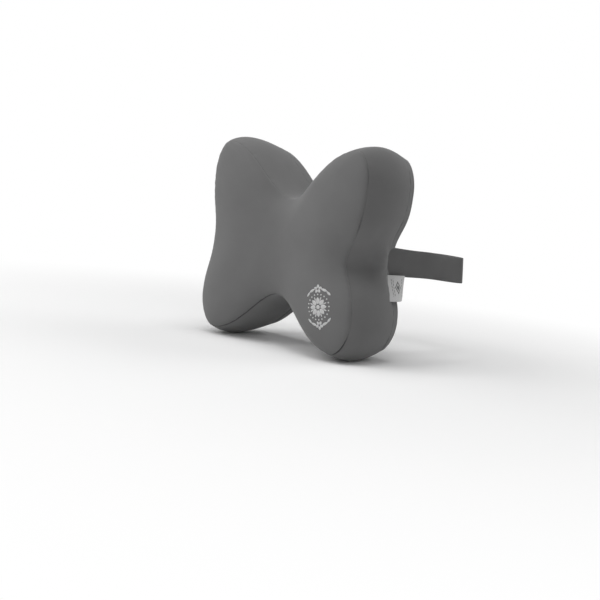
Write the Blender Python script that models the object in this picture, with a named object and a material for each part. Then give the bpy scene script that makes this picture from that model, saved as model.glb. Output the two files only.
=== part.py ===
"""Neck cushion for a car: foam body, sewn knit cover with a back zip, strap loop and side label.

Metres, +Z up. The flat back lies on y = 0, the front faces -Y and the width runs along X.
The cover and the foam are lofts through one set of rings, so every panel shares its seams.
"""

import math
from collections import namedtuple

import bmesh
import bpy
import numpy as np
from mathutils import Vector

# Outline of the upper lobes at the seams, from the middle of the cushion
UPPER_CROWN_X = 0.0920
UPPER_CROWN_Z = 0.1055
UPPER_SIDE_X = 0.1090
UPPER_SIDE_Z = 0.0710
UPPER_NOTCH_Z = 0.0490
UPPER_CORNER = 0.50

# Outline of the lower lobes at the seams
LOWER_CROWN_X = 0.0870
LOWER_CROWN_Z = 0.1040
LOWER_SIDE_X = 0.1080
LOWER_SIDE_Z = 0.0685
LOWER_NOTCH_Z = 0.0550
LOWER_CORNER = 0.49

# Handles of the outline's curves, as shares of the stretch that each one spans
NOTCH_HANDLE = 0.29
CROWN_HANDLE = 0.44
WAIST_HANDLE = 0.39

# Waist between the lobes, drawn in by the strap that is sewn into its back seam
WAIST_X = 0.1030
WAIST_START_SHARE = 0.50
WAIST_PULL = 0.0112
WAIST_PULL_FRONT_SHARE = 0.15
WAIST_PULL_REACH = 0.0370
WAIST_PULL_POWER = 3
WAIST_SADDLE = 0.0040
WAIST_SEAM_DIP = 0.0020

# Depths, measured forward from the flat back
UPPER_LOBE_DEPTH = 0.1030
LOWER_LOBE_DEPTH = 0.1060
MIDDLE_DEPTH = 0.0910
FRONT_SEAM_DEPTH = 0.0877
FRONT_SEAM_DIP = 0.0060
BACK_SEAM_DEPTH = 0.0180
BACK_EDGE_DEPTH = 0.0090
LOBE_REACH = 0.0850
LOBE_BLEND_Z = 0.0500
FRONT_ROUNDNESS = 2.6
BACK_FLAT_SHARE = 0.84

# Swell of the side panel between its two seams
GUSSET_SWELL = 0.0078
GUSSET_SWELL_SKEW = 0.82
CROWN_SWELL_SHARE = 0.25
NOTCH_SWELL_SHARE = 0.34
WAIST_SWELL_SHARE = 0.80

# Rows and columns of the loft
CURVE_STEPS = 6
FRONT_STEPS = 7
GUSSET_STEPS = 6
EDGE_STEPS = 2
BACK_STEPS = 4

# Cover
COVER_WALL = 0.0020
SEAM_GAP = 0.0003
CLEARANCE = 0.0003

# Strap
STRAP_WIDTH = 0.0300
STRAP_THICKNESS = 0.0020
STRAP_Z = -0.0065
STRAP_REACH = 0.1425
STRAP_BEND_RADIUS = 0.0100
STRAP_BEND_STEPS = 6
STRAP_DROP_DEG = 2.0
STRAP_SEWN_DEPTH = 0.0030

# Side label
LABEL_LENGTH = 0.0260
LABEL_WIDTH = 0.0280
LABEL_THICKNESS = 0.0006
LABEL_SEWN_DEPTH = 0.0025
LABEL_STRAP_GAP = 0.0015
LABEL_TURN_DEG = 8.0

# Zip
ZIP_Z = -0.0300
ZIP_OPENING_LENGTH = 0.1400
ZIP_OPENING_HEIGHT = 0.0080
TAPE_WIDTH = 0.0075
TAPE_THICKNESS = 0.0008
TAPE_OVERLAP = 0.0060
TEETH_SPLIT = 0.0011
TOOTH_LENGTH = 0.0011
TOOTH_PITCH = 0.0026
TOOTH_SHARE = 0.55
TEETH_CORD = 0.0010
TEETH_THICKNESS = 0.0018
END_STOP_LENGTH = 0.0022
SLIDER_LENGTH = 0.0090
SLIDER_WIDTH = 0.0066
SLIDER_NECK_SHARE = 0.72
SLIDER_PLATE = 0.0010
SLIDER_WEB_LENGTH = 0.0035
SLIDER_INSET = 0.0030
CROWN_LENGTH = 0.0056
CROWN_WIDTH = 0.0018
CROWN_WALL = 0.0010
PULL_LENGTH = 0.0170
PULL_WIDTH = 0.0052
PULL_TIP_WIDTH = 0.0036
PULL_THICKNESS = 0.0008
PULL_ARM = 0.0011
PULL_EYE_LENGTH = 0.0034
PULL_HOLE_RADIUS = 0.0010
PULL_HOLE_INSET = 0.0020
PULL_HOLE_STEPS = 12
PULL_PLAY = 0.0004

# Back seam's place between the front seam, 0, and the back edge, 1
BACK_SEAM_SHARE = (FRONT_SEAM_DEPTH - BACK_SEAM_DEPTH) / (FRONT_SEAM_DEPTH - BACK_EDGE_DEPTH)

# Depths below the flat back that follow from the cover's wall
TAPE_OUTER = -COVER_WALL - CLEARANCE
TEETH_MIDDLE = TAPE_OUTER - TAPE_THICKNESS / 2
TEETH_OUTER = TEETH_MIDDLE + TEETH_THICKNESS / 2
TEETH_INNER = TEETH_MIDDLE - TEETH_THICKNESS / 2
SLIDER_OUTER = TEETH_OUTER + CLEARANCE + SLIDER_PLATE
SLIDER_INNER = TEETH_INNER - CLEARANCE - SLIDER_PLATE
PULL_AXIS_Y = PULL_PLAY + PULL_THICKNESS / 2
CROWN_TOP = PULL_AXIS_Y + PULL_THICKNESS / 2 + PULL_PLAY + CROWN_WALL
TEETH_HALF_LENGTH = ZIP_OPENING_LENGTH / 2
SLIDER_X = TEETH_HALF_LENGTH - SLIDER_INSET - SLIDER_LENGTH / 2

Lobe = namedtuple("Lobe", "crown_x crown_z side_x side_z notch_z corner")
UPPER = Lobe(UPPER_CROWN_X, UPPER_CROWN_Z, UPPER_SIDE_X, UPPER_SIDE_Z, UPPER_NOTCH_Z, UPPER_CORNER)
LOWER = Lobe(LOWER_CROWN_X, LOWER_CROWN_Z, LOWER_SIDE_X, LOWER_SIDE_Z, LOWER_NOTCH_Z, LOWER_CORNER)


def clear_scene():
    """Remove what a new Blender file starts with."""
    for item in list(bpy.data.objects):
        bpy.data.objects.remove(item, do_unlink=True)


def collection(name):
    """Return a new collection linked to the scene."""
    made = bpy.data.collections.new(name)
    bpy.context.scene.collection.children.link(made)
    return made


def material(name, colour, roughness, metallic=0.0):
    """Return a plain Principled BSDF material."""
    made = bpy.data.materials.new(name)
    made.use_nodes = True
    shader = made.node_tree.nodes["Principled BSDF"]
    shader.inputs["Base Color"].default_value = (*colour, 1.0)
    shader.inputs["Roughness"].default_value = roughness
    shader.inputs["Metallic"].default_value = metallic
    return made


def add_object(name, bm, group, finish=None):
    """Turn a bmesh into a named object with outward faces."""
    bmesh.ops.recalc_face_normals(bm, faces=bm.faces)
    mesh = bpy.data.meshes.new(name)
    bm.to_mesh(mesh)
    bm.free()
    made = bpy.data.objects.new(name, mesh)
    if finish is not None:
        mesh.materials.append(finish)
    group.objects.link(made)
    return made


def box(name, low, high, group, finish=None):
    """Box between two opposite corners."""
    bm = bmesh.new()
    bmesh.ops.create_cube(bm, size=1.0)
    for vert in bm.verts:
        vert.co = Vector([(a + b) / 2 + c * (b - a) for a, b, c in zip(low, high, vert.co)])
    return add_object(name, bm, group, finish)


def prism(name, outline, along, low, high, group, finish=None):
    """Extrude a flat outline along Y or Z, from low to high."""
    bm = bmesh.new()
    place = {"Y": lambda a, b: (a, low, b), "Z": lambda a, b: (a, b, low)}[along]
    step = {"Y": (0, high - low, 0), "Z": (0, 0, high - low)}[along]
    face = bm.faces.new([bm.verts.new(place(a, b)) for a, b in outline])
    grown = bmesh.ops.extrude_face_region(bm, geom=[face])["geom"]
    moved = [item for item in grown if isinstance(item, bmesh.types.BMVert)]
    bmesh.ops.translate(bm, verts=moved, vec=step)
    return add_object(name, bm, group, finish)


def combine(target, tool, operation):
    """Join or cut with an exact Boolean modifier."""
    modifier = target.modifiers.new(f"{operation.lower()}_{tool.name}", "BOOLEAN")
    modifier.operation = operation
    modifier.solver = "EXACT"
    modifier.object = tool


def hide_tool(tool):
    """Show a cutter only as wire."""
    tool.hide_render = True
    tool.display_type = "WIRE"
    return tool


def smooth(share):
    """Ease from 0 to 1 over the same range."""
    share = np.clip(share, 0.0, 1.0)
    return share * share * (3 - 2 * share)


def curve(start, leave, arrive, end):
    """Points of a cubic curve without its last one."""
    t = np.arange(CURVE_STEPS)[:, None] / CURVE_STEPS
    start, leave, arrive, end = (np.array(point) for point in (start, leave, arrive, end))
    return (1 - t) ** 3 * start + 3 * (1 - t) ** 2 * t * leave + 3 * (1 - t) * t**2 * arrive + t**3 * end


def lobe_side(lobe, waist_x):
    """Outline of one lobe from the middle notch over its crown and down to the waist."""
    crown = (lobe.crown_x, lobe.crown_z)
    side = (lobe.side_x, lobe.side_z)
    corner_x = lobe.corner * (lobe.side_x - lobe.crown_x)
    corner_z = lobe.corner * (lobe.crown_z - lobe.side_z)
    waist = WAIST_HANDLE * lobe.side_z
    return np.vstack([
        curve((0, lobe.notch_z), (NOTCH_HANDLE * lobe.crown_x, lobe.notch_z),
              (lobe.crown_x * (1 - CROWN_HANDLE), lobe.crown_z), crown),
        curve(crown, (lobe.crown_x + corner_x, lobe.crown_z), (lobe.side_x, lobe.side_z + corner_z), side),
        curve(side, (lobe.side_x, lobe.side_z - waist), (waist_x, waist), (waist_x, 0)),
    ])


def swollen(lobe, swell):
    """The lobe's outline where the side panel swells out."""
    return lobe._replace(
        crown_x=lobe.crown_x + CROWN_SWELL_SHARE * swell,
        crown_z=lobe.crown_z + swell,
        side_x=lobe.side_x + swell,
        notch_z=lobe.notch_z + NOTCH_SWELL_SHARE * swell,
    )


def waist(points):
    """How strongly the strap draws on each x, z point: 1 at the side by the strap, 0 away from it."""
    side = (np.abs(points[:, 0]) / WAIST_X - WAIST_START_SHARE) / (1 - WAIST_START_SHARE)
    away = np.abs((points[:, 1] - STRAP_Z) / WAIST_PULL_REACH)
    return smooth(side) * np.exp(-away**WAIST_PULL_POWER)


def waist_pull(share):
    """How far the strap draws the side in, between the front seam and the back edge."""
    grown = min(share / BACK_SEAM_SHARE, 1.0) ** 2
    return WAIST_PULL * (WAIST_PULL_FRONT_SHARE + (1 - WAIST_PULL_FRONT_SHARE) * grown)


def side_swell(share):
    """How far the side panel stands out between the front seam and the back edge."""
    return GUSSET_SWELL * math.sin(math.pi * share**GUSSET_SWELL_SKEW)


def outline(share):
    """Closed outline of the side as x, z points, clockwise from the upper notch."""
    swell = side_swell(share)
    waist_x = WAIST_X + WAIST_SWELL_SHARE * swell
    upper = np.vstack([lobe_side(swollen(UPPER, swell), waist_x), [[waist_x, 0]]])
    lower = lobe_side(swollen(LOWER, swell), waist_x) * [1, -1]
    right = np.vstack([upper, lower[::-1]])
    right[:, 0] -= waist_pull(share) * waist(right)
    left = right[::-1][1:-1] * [-1, 1]
    return np.vstack([right, left])


def ring(points, depth):
    """Outline points as one row of the loft at a depth in front of the flat back."""
    return np.column_stack([points[:, 0], -depth * np.ones(len(points)), points[:, 1]])


def lobe_share(points):
    """Ease from 0 in the middle of the front to 1 where the lobes are deepest."""
    return smooth(np.abs(points[:, 0]) / LOBE_REACH)


def front_seam_depth(points):
    """Depth of the front seam, which dips towards the back between the lobes and at the waist."""
    return FRONT_SEAM_DEPTH - FRONT_SEAM_DIP * (1 - lobe_share(points)) - WAIST_SEAM_DIP * waist(points)


def crown_depth(points):
    """Depth that the front would have without its rounding towards the seam."""
    rise = smooth((points[:, 1] / LOBE_BLEND_Z + 1) / 2)
    lobe = LOWER_LOBE_DEPTH + (UPPER_LOBE_DEPTH - LOWER_LOBE_DEPTH) * rise - WAIST_SADDLE * waist(points)
    return MIDDLE_DEPTH + (lobe - MIDDLE_DEPTH) * lobe_share(points)


def front_rows():
    """Rows from near the middle of the front out to the front seam."""
    seam = outline(0.0)
    edge = front_seam_depth(seam)
    rows = []
    for step in range(FRONT_STEPS + 1):
        radius = math.sin(math.pi / 2 * step / FRONT_STEPS)
        crown = crown_depth(seam * radius)
        rows.append(ring(seam * radius, edge + (crown - edge) * math.sqrt(1 - radius**FRONT_ROUNDNESS)))
    return rows


def side_rows(first, last, steps):
    """Rows of the side between two shares of the way from the front seam to the back edge."""
    seam_depth = front_seam_depth(outline(0.0))
    shares = np.linspace(first, last, steps + 1)
    return [ring(outline(share), seam_depth + (BACK_EDGE_DEPTH - seam_depth) * share) for share in shares]


def back_rows():
    """Rows from the back seam over the edge to the rim of the flat back."""
    rows = side_rows(BACK_SEAM_SHARE, 1.0, EDGE_STEPS)
    edge = outline(1.0)
    for step in range(1, BACK_STEPS + 1):
        turn = math.pi / 2 * step / BACK_STEPS
        radius = BACK_FLAT_SHARE + (1 - BACK_FLAT_SHARE) * math.cos(turn)
        rows.append(ring(edge * radius, BACK_EDGE_DEPTH * (1 - math.sin(turn))))
    return rows


def grid_faces(bm, rows):
    """Triangles between neighbouring rows, split the same way in every layer so that none cross."""
    for first, second in zip(rows, rows[1:]):
        count = len(first)
        for i in range(count):
            j = (i + 1) % count
            bm.faces.new((first[i], first[j], second[j]))
            bm.faces.new((first[i], second[j], second[i]))


def add_rows(bm, rows):
    """Vertices for rows of points."""
    return [[bm.verts.new(point) for point in row] for row in rows]


def close_front(bm, row, middle):
    """Fan from the front's middle point to its first ring."""
    pole = bm.verts.new(middle)
    for i, vert in enumerate(row):
        bm.faces.new((pole, row[(i + 1) % len(row)], vert))


def skin_normals(rows, middle):
    """Outward directions at every point of the loft, and at the front's middle point."""
    bm = bmesh.new()
    verts = add_rows(bm, rows)
    grid_faces(bm, verts)
    close_front(bm, verts[0], middle)
    bm.faces.new(verts[-1])
    bmesh.ops.recalc_face_normals(bm, faces=bm.faces)
    bm.normal_update()
    normals = [np.array([vert.normal[:] for vert in row]) for row in verts]
    normals[-1][:] = (0, 1, 0)
    bm.free()
    return normals


def skin():
    """All rows of the outer skin, front first, with the rows at which the seams lie."""
    front, gusset, back = front_rows(), side_rows(0.0, BACK_SEAM_SHARE, GUSSET_STEPS), back_rows()
    rows = front[1:] + gusset[1:] + back[1:]
    middle = front[0][0]
    front_seam = FRONT_STEPS - 1
    back_seam = front_seam + GUSSET_STEPS
    return rows, middle, skin_normals(rows, middle), front_seam, back_seam


def sunk(rows, normals, depth):
    """Rows moved inward along their normals."""
    return [row - normal * depth for row, normal in zip(rows, normals)]


def shifted(rows, index, step):
    """Rows with one of them moved along Y, which leaves half of a seam's gap."""
    rows = [row.copy() for row in rows]
    rows[index][:, 1] += step
    return rows


def join_rims(bm, outer, inner):
    """Faces that join an outer row to the inner row behind it."""
    grid_faces(bm, [outer, inner])


def foam_core(surface, group, finish):
    """Foam body, one clearance inside the cover."""
    rows, middle, normals, _, _ = surface
    depth = COVER_WALL + CLEARANCE
    bm = bmesh.new()
    verts = add_rows(bm, sunk(rows, normals, depth))
    grid_faces(bm, verts)
    close_front(bm, verts[0], middle + np.array((0, depth, 0)))
    bm.faces.new(verts[-1])
    return add_object("foam_core", bm, group, finish)


def cover_front(surface, group, finish):
    """Front panel out to its seam."""
    rows, middle, normals, _, _ = surface
    panel = rows[:FRONT_STEPS]
    bm = bmesh.new()
    outer = add_rows(bm, shifted(panel, -1, -SEAM_GAP / 2))
    inner = add_rows(bm, shifted(sunk(panel, normals, COVER_WALL), -1, -SEAM_GAP / 2))
    for verts, depth in ((outer, 0.0), (inner, COVER_WALL)):
        grid_faces(bm, verts)
        close_front(bm, verts[0], middle + np.array((0, depth, 0)))
    join_rims(bm, outer[-1], inner[-1])
    return add_object("cover_front", bm, group, finish)


def cover_gusset(surface, group, finish):
    """Side panel, one band between the two seams."""
    rows, _, normals, front_seam, back_seam = surface
    span = slice(front_seam, back_seam + 1)
    bm = bmesh.new()
    sides = []
    for band in (rows[span], sunk(rows[span], normals[span], COVER_WALL)):
        band = shifted(shifted(band, 0, SEAM_GAP / 2), -1, -SEAM_GAP / 2)
        sides.append(add_rows(bm, band))
        grid_faces(bm, sides[-1])
    join_rims(bm, sides[0][0], sides[1][0])
    join_rims(bm, sides[0][-1], sides[1][-1])
    return add_object("cover_gusset", bm, group, finish)


def cover_back(surface, group, finish):
    """Back panel, flat but for its rolled edge."""
    rows, _, normals, _, back_seam = surface
    bm = bmesh.new()
    outer = add_rows(bm, shifted(rows[back_seam:], 0, SEAM_GAP / 2))
    inner = add_rows(bm, shifted(sunk(rows[back_seam:], normals[back_seam:], COVER_WALL), 0, SEAM_GAP / 2))
    for verts in (outer, inner):
        grid_faces(bm, verts)
        bm.faces.new(verts[-1])
    join_rims(bm, outer[0], inner[0])
    return add_object("cover_back", bm, group, finish)


def seam_x(z):
    """Half width of the back seam at a height between the lobes."""
    points = outline(BACK_SEAM_SHARE)
    side = points[: len(points) // 2 + 1]
    side = side[(side[:, 1] <= UPPER_SIDE_Z) & (side[:, 1] >= -LOWER_SIDE_Z)]
    return float(np.interp(z, side[::-1, 1], side[::-1, 0]))


def arc(centre_x, centre_y, radius, start_deg, end_deg):
    """Points of a circle's arc, both ends included."""
    angles = np.radians(np.linspace(start_deg, end_deg, STRAP_BEND_STEPS + 1))
    return [(centre_x + radius * math.cos(a), centre_y + radius * math.sin(a)) for a in angles]


def strap_loop_outline(half_width, reach, start):
    """Outline of the strap seen from above, from the right end round the back to the left end."""
    bend_x = half_width - STRAP_BEND_RADIUS
    bend_y = reach - STRAP_BEND_RADIUS
    inner_radius = STRAP_BEND_RADIUS - STRAP_THICKNESS
    outside = [(half_width, start)] + arc(bend_x, bend_y, STRAP_BEND_RADIUS, 0, 90)
    outside += arc(-bend_x, bend_y, STRAP_BEND_RADIUS, 90, 180) + [(-half_width, start)]
    inside_x = half_width - STRAP_THICKNESS
    inside = [(-inside_x, start)] + arc(-bend_x, bend_y, inner_radius, 180, 90)
    inside += arc(bend_x, bend_y, inner_radius, 90, 0) + [(inside_x, start)]
    return outside + inside


def sloped(item):
    """Hang a strap piece at its root, sloping down towards the back."""
    item.location = (0, -BACK_SEAM_DEPTH, STRAP_Z)
    item.rotation_euler.x = -math.radians(STRAP_DROP_DEG)
    return item


def strap(group, finish):
    """Elastic strap, one loop from seam to seam, drawn about its root."""
    loop = strap_loop_outline(seam_x(STRAP_Z), STRAP_REACH + BACK_SEAM_DEPTH, -STRAP_SEWN_DEPTH)
    made = prism("strap", loop, "Z", -STRAP_WIDTH / 2, STRAP_WIDTH / 2, group, finish)
    return sloped(made)


def strap_notch(side, tools):
    """Cutter for the place where one end of the strap passes through the seam."""
    face = seam_x(STRAP_Z)
    inner = face - STRAP_THICKNESS - CLEARANCE
    outer = face + WAIST_PULL
    behind = BACK_SEAM_DEPTH + STRAP_THICKNESS
    low = (min(side * inner, side * outer), -STRAP_SEWN_DEPTH - CLEARANCE, -STRAP_WIDTH / 2 - CLEARANCE)
    high = (max(side * inner, side * outer), behind, STRAP_WIDTH / 2 + CLEARANCE)
    name = "strap_notch_right" if side > 0 else "strap_notch_left"
    return hide_tool(sloped(box(name, low, high, tools)))


def label_place():
    """Middle of the label's root on the right back seam, and the seam's slant there."""
    top = STRAP_Z - STRAP_WIDTH / 2 - LABEL_STRAP_GAP
    bottom = top - LABEL_WIDTH
    slant = math.atan2(seam_x(top) - seam_x(bottom), LABEL_WIDTH)
    middle = (seam_x(top) + seam_x(bottom)) / 2 - LABEL_THICKNESS
    return (middle, -BACK_SEAM_DEPTH, (top + bottom) / 2), slant


def at_label(item):
    """Set a piece on the label's root, along the seam and turned a little inward."""
    item.location, slant = label_place()
    item.rotation_euler = (0, slant, math.radians(LABEL_TURN_DEG))
    return item


def side_label(group, finish):
    """Folded cloth label sewn into the right back seam under the strap."""
    thick, wide = LABEL_THICKNESS / 2, LABEL_WIDTH / 2
    low, high = (-thick, -LABEL_SEWN_DEPTH, -wide), (thick, LABEL_LENGTH, wide)
    return at_label(box("side_label", low, high, group, finish))


def label_notch(tools):
    """Cutter for the label's root."""
    half = LABEL_WIDTH / 2 + CLEARANCE
    low = (-LABEL_THICKNESS / 2 - CLEARANCE, -LABEL_SEWN_DEPTH - CLEARANCE, -half)
    high = (GUSSET_SWELL, BACK_SEAM_DEPTH, half)
    return hide_tool(at_label(box("label_notch", low, high, tools)))


def zip_slot(tools):
    """Cutter for the zip's opening in the back panel."""
    half = ZIP_OPENING_HEIGHT / 2
    low = (-ZIP_OPENING_LENGTH / 2 - CLEARANCE, -BACK_SEAM_DEPTH, ZIP_Z - half)
    high = (ZIP_OPENING_LENGTH / 2 + CLEARANCE, BACK_SEAM_DEPTH, ZIP_Z + half)
    return hide_tool(box("zip_slot", low, high, tools))


def tape_half_length():
    """Half length of the tapes, which run on behind the panel past both ends of the opening."""
    return ZIP_OPENING_LENGTH / 2 + TAPE_OVERLAP


def zip_recess(tools):
    """Cutter for the space in the foam behind the tapes and the slider."""
    half_x = tape_half_length() + CLEARANCE
    half_z = TEETH_SPLIT / 2 + TOOTH_LENGTH + TEETH_CORD + CLEARANCE + TAPE_WIDTH + CLEARANCE
    low = (-half_x, SLIDER_INNER - CLEARANCE, ZIP_Z - half_z)
    high = (half_x, BACK_SEAM_DEPTH, ZIP_Z + half_z)
    return hide_tool(box("zip_recess", low, high, tools))


def zip_tape(side, group, finish):
    """One woven tape, sewn behind the edge of the opening."""
    near = TEETH_SPLIT / 2 + TOOTH_LENGTH + TEETH_CORD + CLEARANCE
    edges = sorted((ZIP_Z + side * near, ZIP_Z + side * (near + TAPE_WIDTH)))
    low = (-tape_half_length(), TAPE_OUTER - TAPE_THICKNESS, edges[0])
    high = (tape_half_length(), TAPE_OUTER, edges[1])
    return box("zip_tape_upper" if side > 0 else "zip_tape_lower", low, high, group, finish)


def teeth_outline(side, start, end):
    """Comb of teeth along X whose tips stop short of the middle of the zip."""
    tip = TEETH_SPLIT / 2
    root = tip + TOOTH_LENGTH
    back = root + TEETH_CORD
    count = int((end - start) / TOOTH_PITCH)
    pitch = (end - start) / count
    points = [(end, back), (start, back)]
    for tooth in range(count):
        left = start + tooth * pitch
        right = left + pitch * TOOTH_SHARE
        points += [(left, tip), (right, tip), (right, root)]
        if tooth < count - 1:
            points.append((left + pitch, root))
    points.append((end, root))
    return [(x, ZIP_Z + side * z) for x, z in points]


def zip_teeth(side, group, finish):
    """One row of teeth between the end stop and the closed end."""
    start = -TEETH_HALF_LENGTH + END_STOP_LENGTH + CLEARANCE
    comb = teeth_outline(side, start, TEETH_HALF_LENGTH)
    name = "zip_teeth_upper" if side > 0 else "zip_teeth_lower"
    return prism(name, comb, "Y", TEETH_INNER, TEETH_OUTER, group, finish)


def zip_end_stop(group, finish):
    """Block that ends both rows of teeth."""
    half = TEETH_SPLIT / 2 + TOOTH_LENGTH + TEETH_CORD
    low = (-TEETH_HALF_LENGTH, TEETH_INNER, ZIP_Z - half)
    high = (-TEETH_HALF_LENGTH + END_STOP_LENGTH, TEETH_OUTER, ZIP_Z + half)
    return box("zip_end_stop", low, high, group, finish)


def slider_plate_outline():
    """Slider plate, narrower where the two rows leave it."""
    long, wide = SLIDER_LENGTH / 2, SLIDER_WIDTH / 2
    narrow = wide * SLIDER_NECK_SHARE
    return [(-long, -narrow), (0, -wide), (long, -wide), (long, wide), (0, wide), (-long, narrow)]


def zip_slider(group, tools, finish):
    """Slider: two plates over the teeth, the web between the rows and the crown for the pull."""
    plate = slider_plate_outline()
    slider = prism("zip_slider", plate, "Y", SLIDER_OUTER - SLIDER_PLATE, SLIDER_OUTER, group, finish)
    inner = prism("slider_inner_plate", plate, "Y", SLIDER_INNER, SLIDER_INNER + SLIDER_PLATE, tools)
    web_half = TEETH_SPLIT / 2 - CLEARANCE
    web_low = (SLIDER_LENGTH / 2 - SLIDER_WEB_LENGTH, SLIDER_INNER + SLIDER_PLATE / 2, -web_half)
    web_high = (SLIDER_LENGTH / 2, SLIDER_OUTER - SLIDER_PLATE / 2, web_half)
    web = box("slider_web", web_low, web_high, tools)
    long, wide = CROWN_LENGTH / 2, CROWN_WIDTH / 2
    base = SLIDER_OUTER - SLIDER_PLATE / 2
    crown = box("slider_crown", (-long, base, -wide), (long, CROWN_TOP, wide), tools)
    eye_low = (-long + CROWN_WALL, SLIDER_OUTER, -CROWN_WIDTH)
    eye_high = (long - CROWN_WALL, CROWN_TOP - CROWN_WALL, CROWN_WIDTH)
    eye = box("slider_eye", eye_low, eye_high, tools)
    for part in (inner, web, crown, eye):
        part.parent = slider
        hide_tool(part)
    combine(crown, eye, "DIFFERENCE")
    for part in (inner, web, crown):
        combine(slider, part, "UNION")
    slider.location = (SLIDER_X, 0, ZIP_Z)
    return slider


def pull_outline():
    """Pull seen from behind, with its root at the hinge and its tip towards -X."""
    wide, tip = PULL_WIDTH / 2, PULL_TIP_WIDTH / 2
    root = PULL_THICKNESS / 2
    shoulder = root - PULL_EYE_LENGTH - PULL_THICKNESS
    upper = [(root, wide), (shoulder, wide), (-PULL_LENGTH, tip)]
    return upper + [(x, -z) for x, z in reversed(upper)]


def zip_pull(group, tools, finish):
    """Pull with the bar that turns in the slider's crown, and a hole at its tip."""
    half = PULL_THICKNESS / 2
    pull = prism("zip_pull", pull_outline(), "Y", -half, half, group, finish)
    eye_wide = PULL_WIDTH / 2 - PULL_ARM
    eye = box("pull_eye", (-half - PULL_EYE_LENGTH, -PULL_THICKNESS, -eye_wide),
              (-half, PULL_THICKNESS, eye_wide), tools)
    angles = [2 * math.pi * step / PULL_HOLE_STEPS for step in range(PULL_HOLE_STEPS)]
    hole_x = -PULL_LENGTH + PULL_HOLE_INSET
    round_hole = [(hole_x + PULL_HOLE_RADIUS * math.cos(a), PULL_HOLE_RADIUS * math.sin(a)) for a in angles]
    hole = prism("pull_hole", round_hole, "Y", -PULL_THICKNESS, PULL_THICKNESS, tools)
    for part in (eye, hole):
        part.parent = pull
        hide_tool(part)
        combine(pull, part, "DIFFERENCE")
    pull.location = (SLIDER_X, PULL_AXIS_Y, ZIP_Z)
    return pull


def build():
    """Build every piece of the cushion."""
    clear_scene()
    group = collection("neck_cushion")
    tools = collection("cutters")
    knit = material("knit_fabric", (0.145, 0.145, 0.148), 0.85)
    foam = material("foam", (0.72, 0.66, 0.50), 0.90)
    webbing = material("elastic_webbing", (0.085, 0.085, 0.088), 0.80)
    label_cloth = material("label_cloth", (0.42, 0.42, 0.42), 0.75)
    tape_cloth = material("zip_tape", (0.060, 0.060, 0.062), 0.85)
    nylon = material("zip_nylon", (0.045, 0.045, 0.047), 0.45)
    metal = material("zip_metal", (0.32, 0.32, 0.33), 0.30, 1.0)

    surface = skin()
    core = foam_core(surface, group, foam)
    cover_front(surface, group, knit)
    gusset = cover_gusset(surface, group, knit)
    back = cover_back(surface, group, knit)
    strap(group, webbing)
    side_label(group, label_cloth)
    for cutter in (strap_notch(1, tools), strap_notch(-1, tools), label_notch(tools)):
        for panel in (core, gusset, back):
            combine(panel, cutter, "DIFFERENCE")
    combine(back, zip_slot(tools), "DIFFERENCE")
    combine(core, zip_recess(tools), "DIFFERENCE")
    for side in (1, -1):
        zip_tape(side, group, tape_cloth)
        zip_teeth(side, group, nylon)
    zip_end_stop(group, metal)
    zip_slider(group, tools, metal)
    zip_pull(group, tools, metal)


build()
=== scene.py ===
"""Looks of the neck cushion: sewn knit cover, strap, side label, embroidered rosette, zip, light and camera.

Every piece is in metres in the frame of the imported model: +Z up, the front faces -Y and the flat back
lies on y = 0. The cover is drawn from the same few sizes as the solids, and a cloth simulation of a coarse
copy gives it the small swells and hollows of fabric pulled over foam.
"""

from __future__ import annotations

import logging
import math
from dataclasses import dataclass, field, replace
from enum import Enum
from typing import Callable, Sequence

import bmesh
import bpy
import numpy as np
from mathutils import Matrix, Vector
from mathutils.bvhtree import BVHTree
from mathutils.kdtree import KDTree


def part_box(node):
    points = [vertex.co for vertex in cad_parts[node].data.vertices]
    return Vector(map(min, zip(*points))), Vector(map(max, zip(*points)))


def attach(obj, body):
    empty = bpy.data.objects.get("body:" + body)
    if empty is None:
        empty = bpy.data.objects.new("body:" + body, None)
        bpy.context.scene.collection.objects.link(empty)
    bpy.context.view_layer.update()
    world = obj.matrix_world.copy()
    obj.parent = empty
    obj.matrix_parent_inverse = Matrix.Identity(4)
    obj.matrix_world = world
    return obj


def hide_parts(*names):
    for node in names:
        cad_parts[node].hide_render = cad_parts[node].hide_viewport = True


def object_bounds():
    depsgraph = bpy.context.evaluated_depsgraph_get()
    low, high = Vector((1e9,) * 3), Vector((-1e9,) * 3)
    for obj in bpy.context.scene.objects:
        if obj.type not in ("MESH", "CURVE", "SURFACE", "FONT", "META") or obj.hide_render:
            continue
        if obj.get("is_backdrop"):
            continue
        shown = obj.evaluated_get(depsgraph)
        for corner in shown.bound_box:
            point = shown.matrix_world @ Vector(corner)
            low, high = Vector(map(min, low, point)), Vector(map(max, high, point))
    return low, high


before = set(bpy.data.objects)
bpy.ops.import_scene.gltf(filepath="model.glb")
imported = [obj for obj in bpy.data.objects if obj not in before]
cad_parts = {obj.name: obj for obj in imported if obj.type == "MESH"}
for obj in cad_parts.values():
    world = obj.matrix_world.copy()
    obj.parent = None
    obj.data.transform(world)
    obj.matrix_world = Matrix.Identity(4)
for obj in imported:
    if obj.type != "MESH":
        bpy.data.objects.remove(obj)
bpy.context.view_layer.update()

LOG = logging.getLogger("neck_cushion")
SEED = 7
# Point attribute that holds the painted shade of the open seams and darkens the knit's colour.
PAINTED_SEAM_SHADE = "painted_seam_shade"
CUSHION_MIDDLE = (0.0, -0.046, 0.0)
END_CAP_POINTS = 61
OPENING_MARGIN = 0.0026
OPENING_HALF_HEIGHT = 0.0040
ROUND_OVER_DEG = 35
SHARP_OVER_DEG = 50
TINY = 1e-12


class Body(str, Enum):
    """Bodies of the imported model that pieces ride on."""

    CUSHION = "cushion"
    SLIDER = "slider"
    PULL = "pull"


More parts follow.
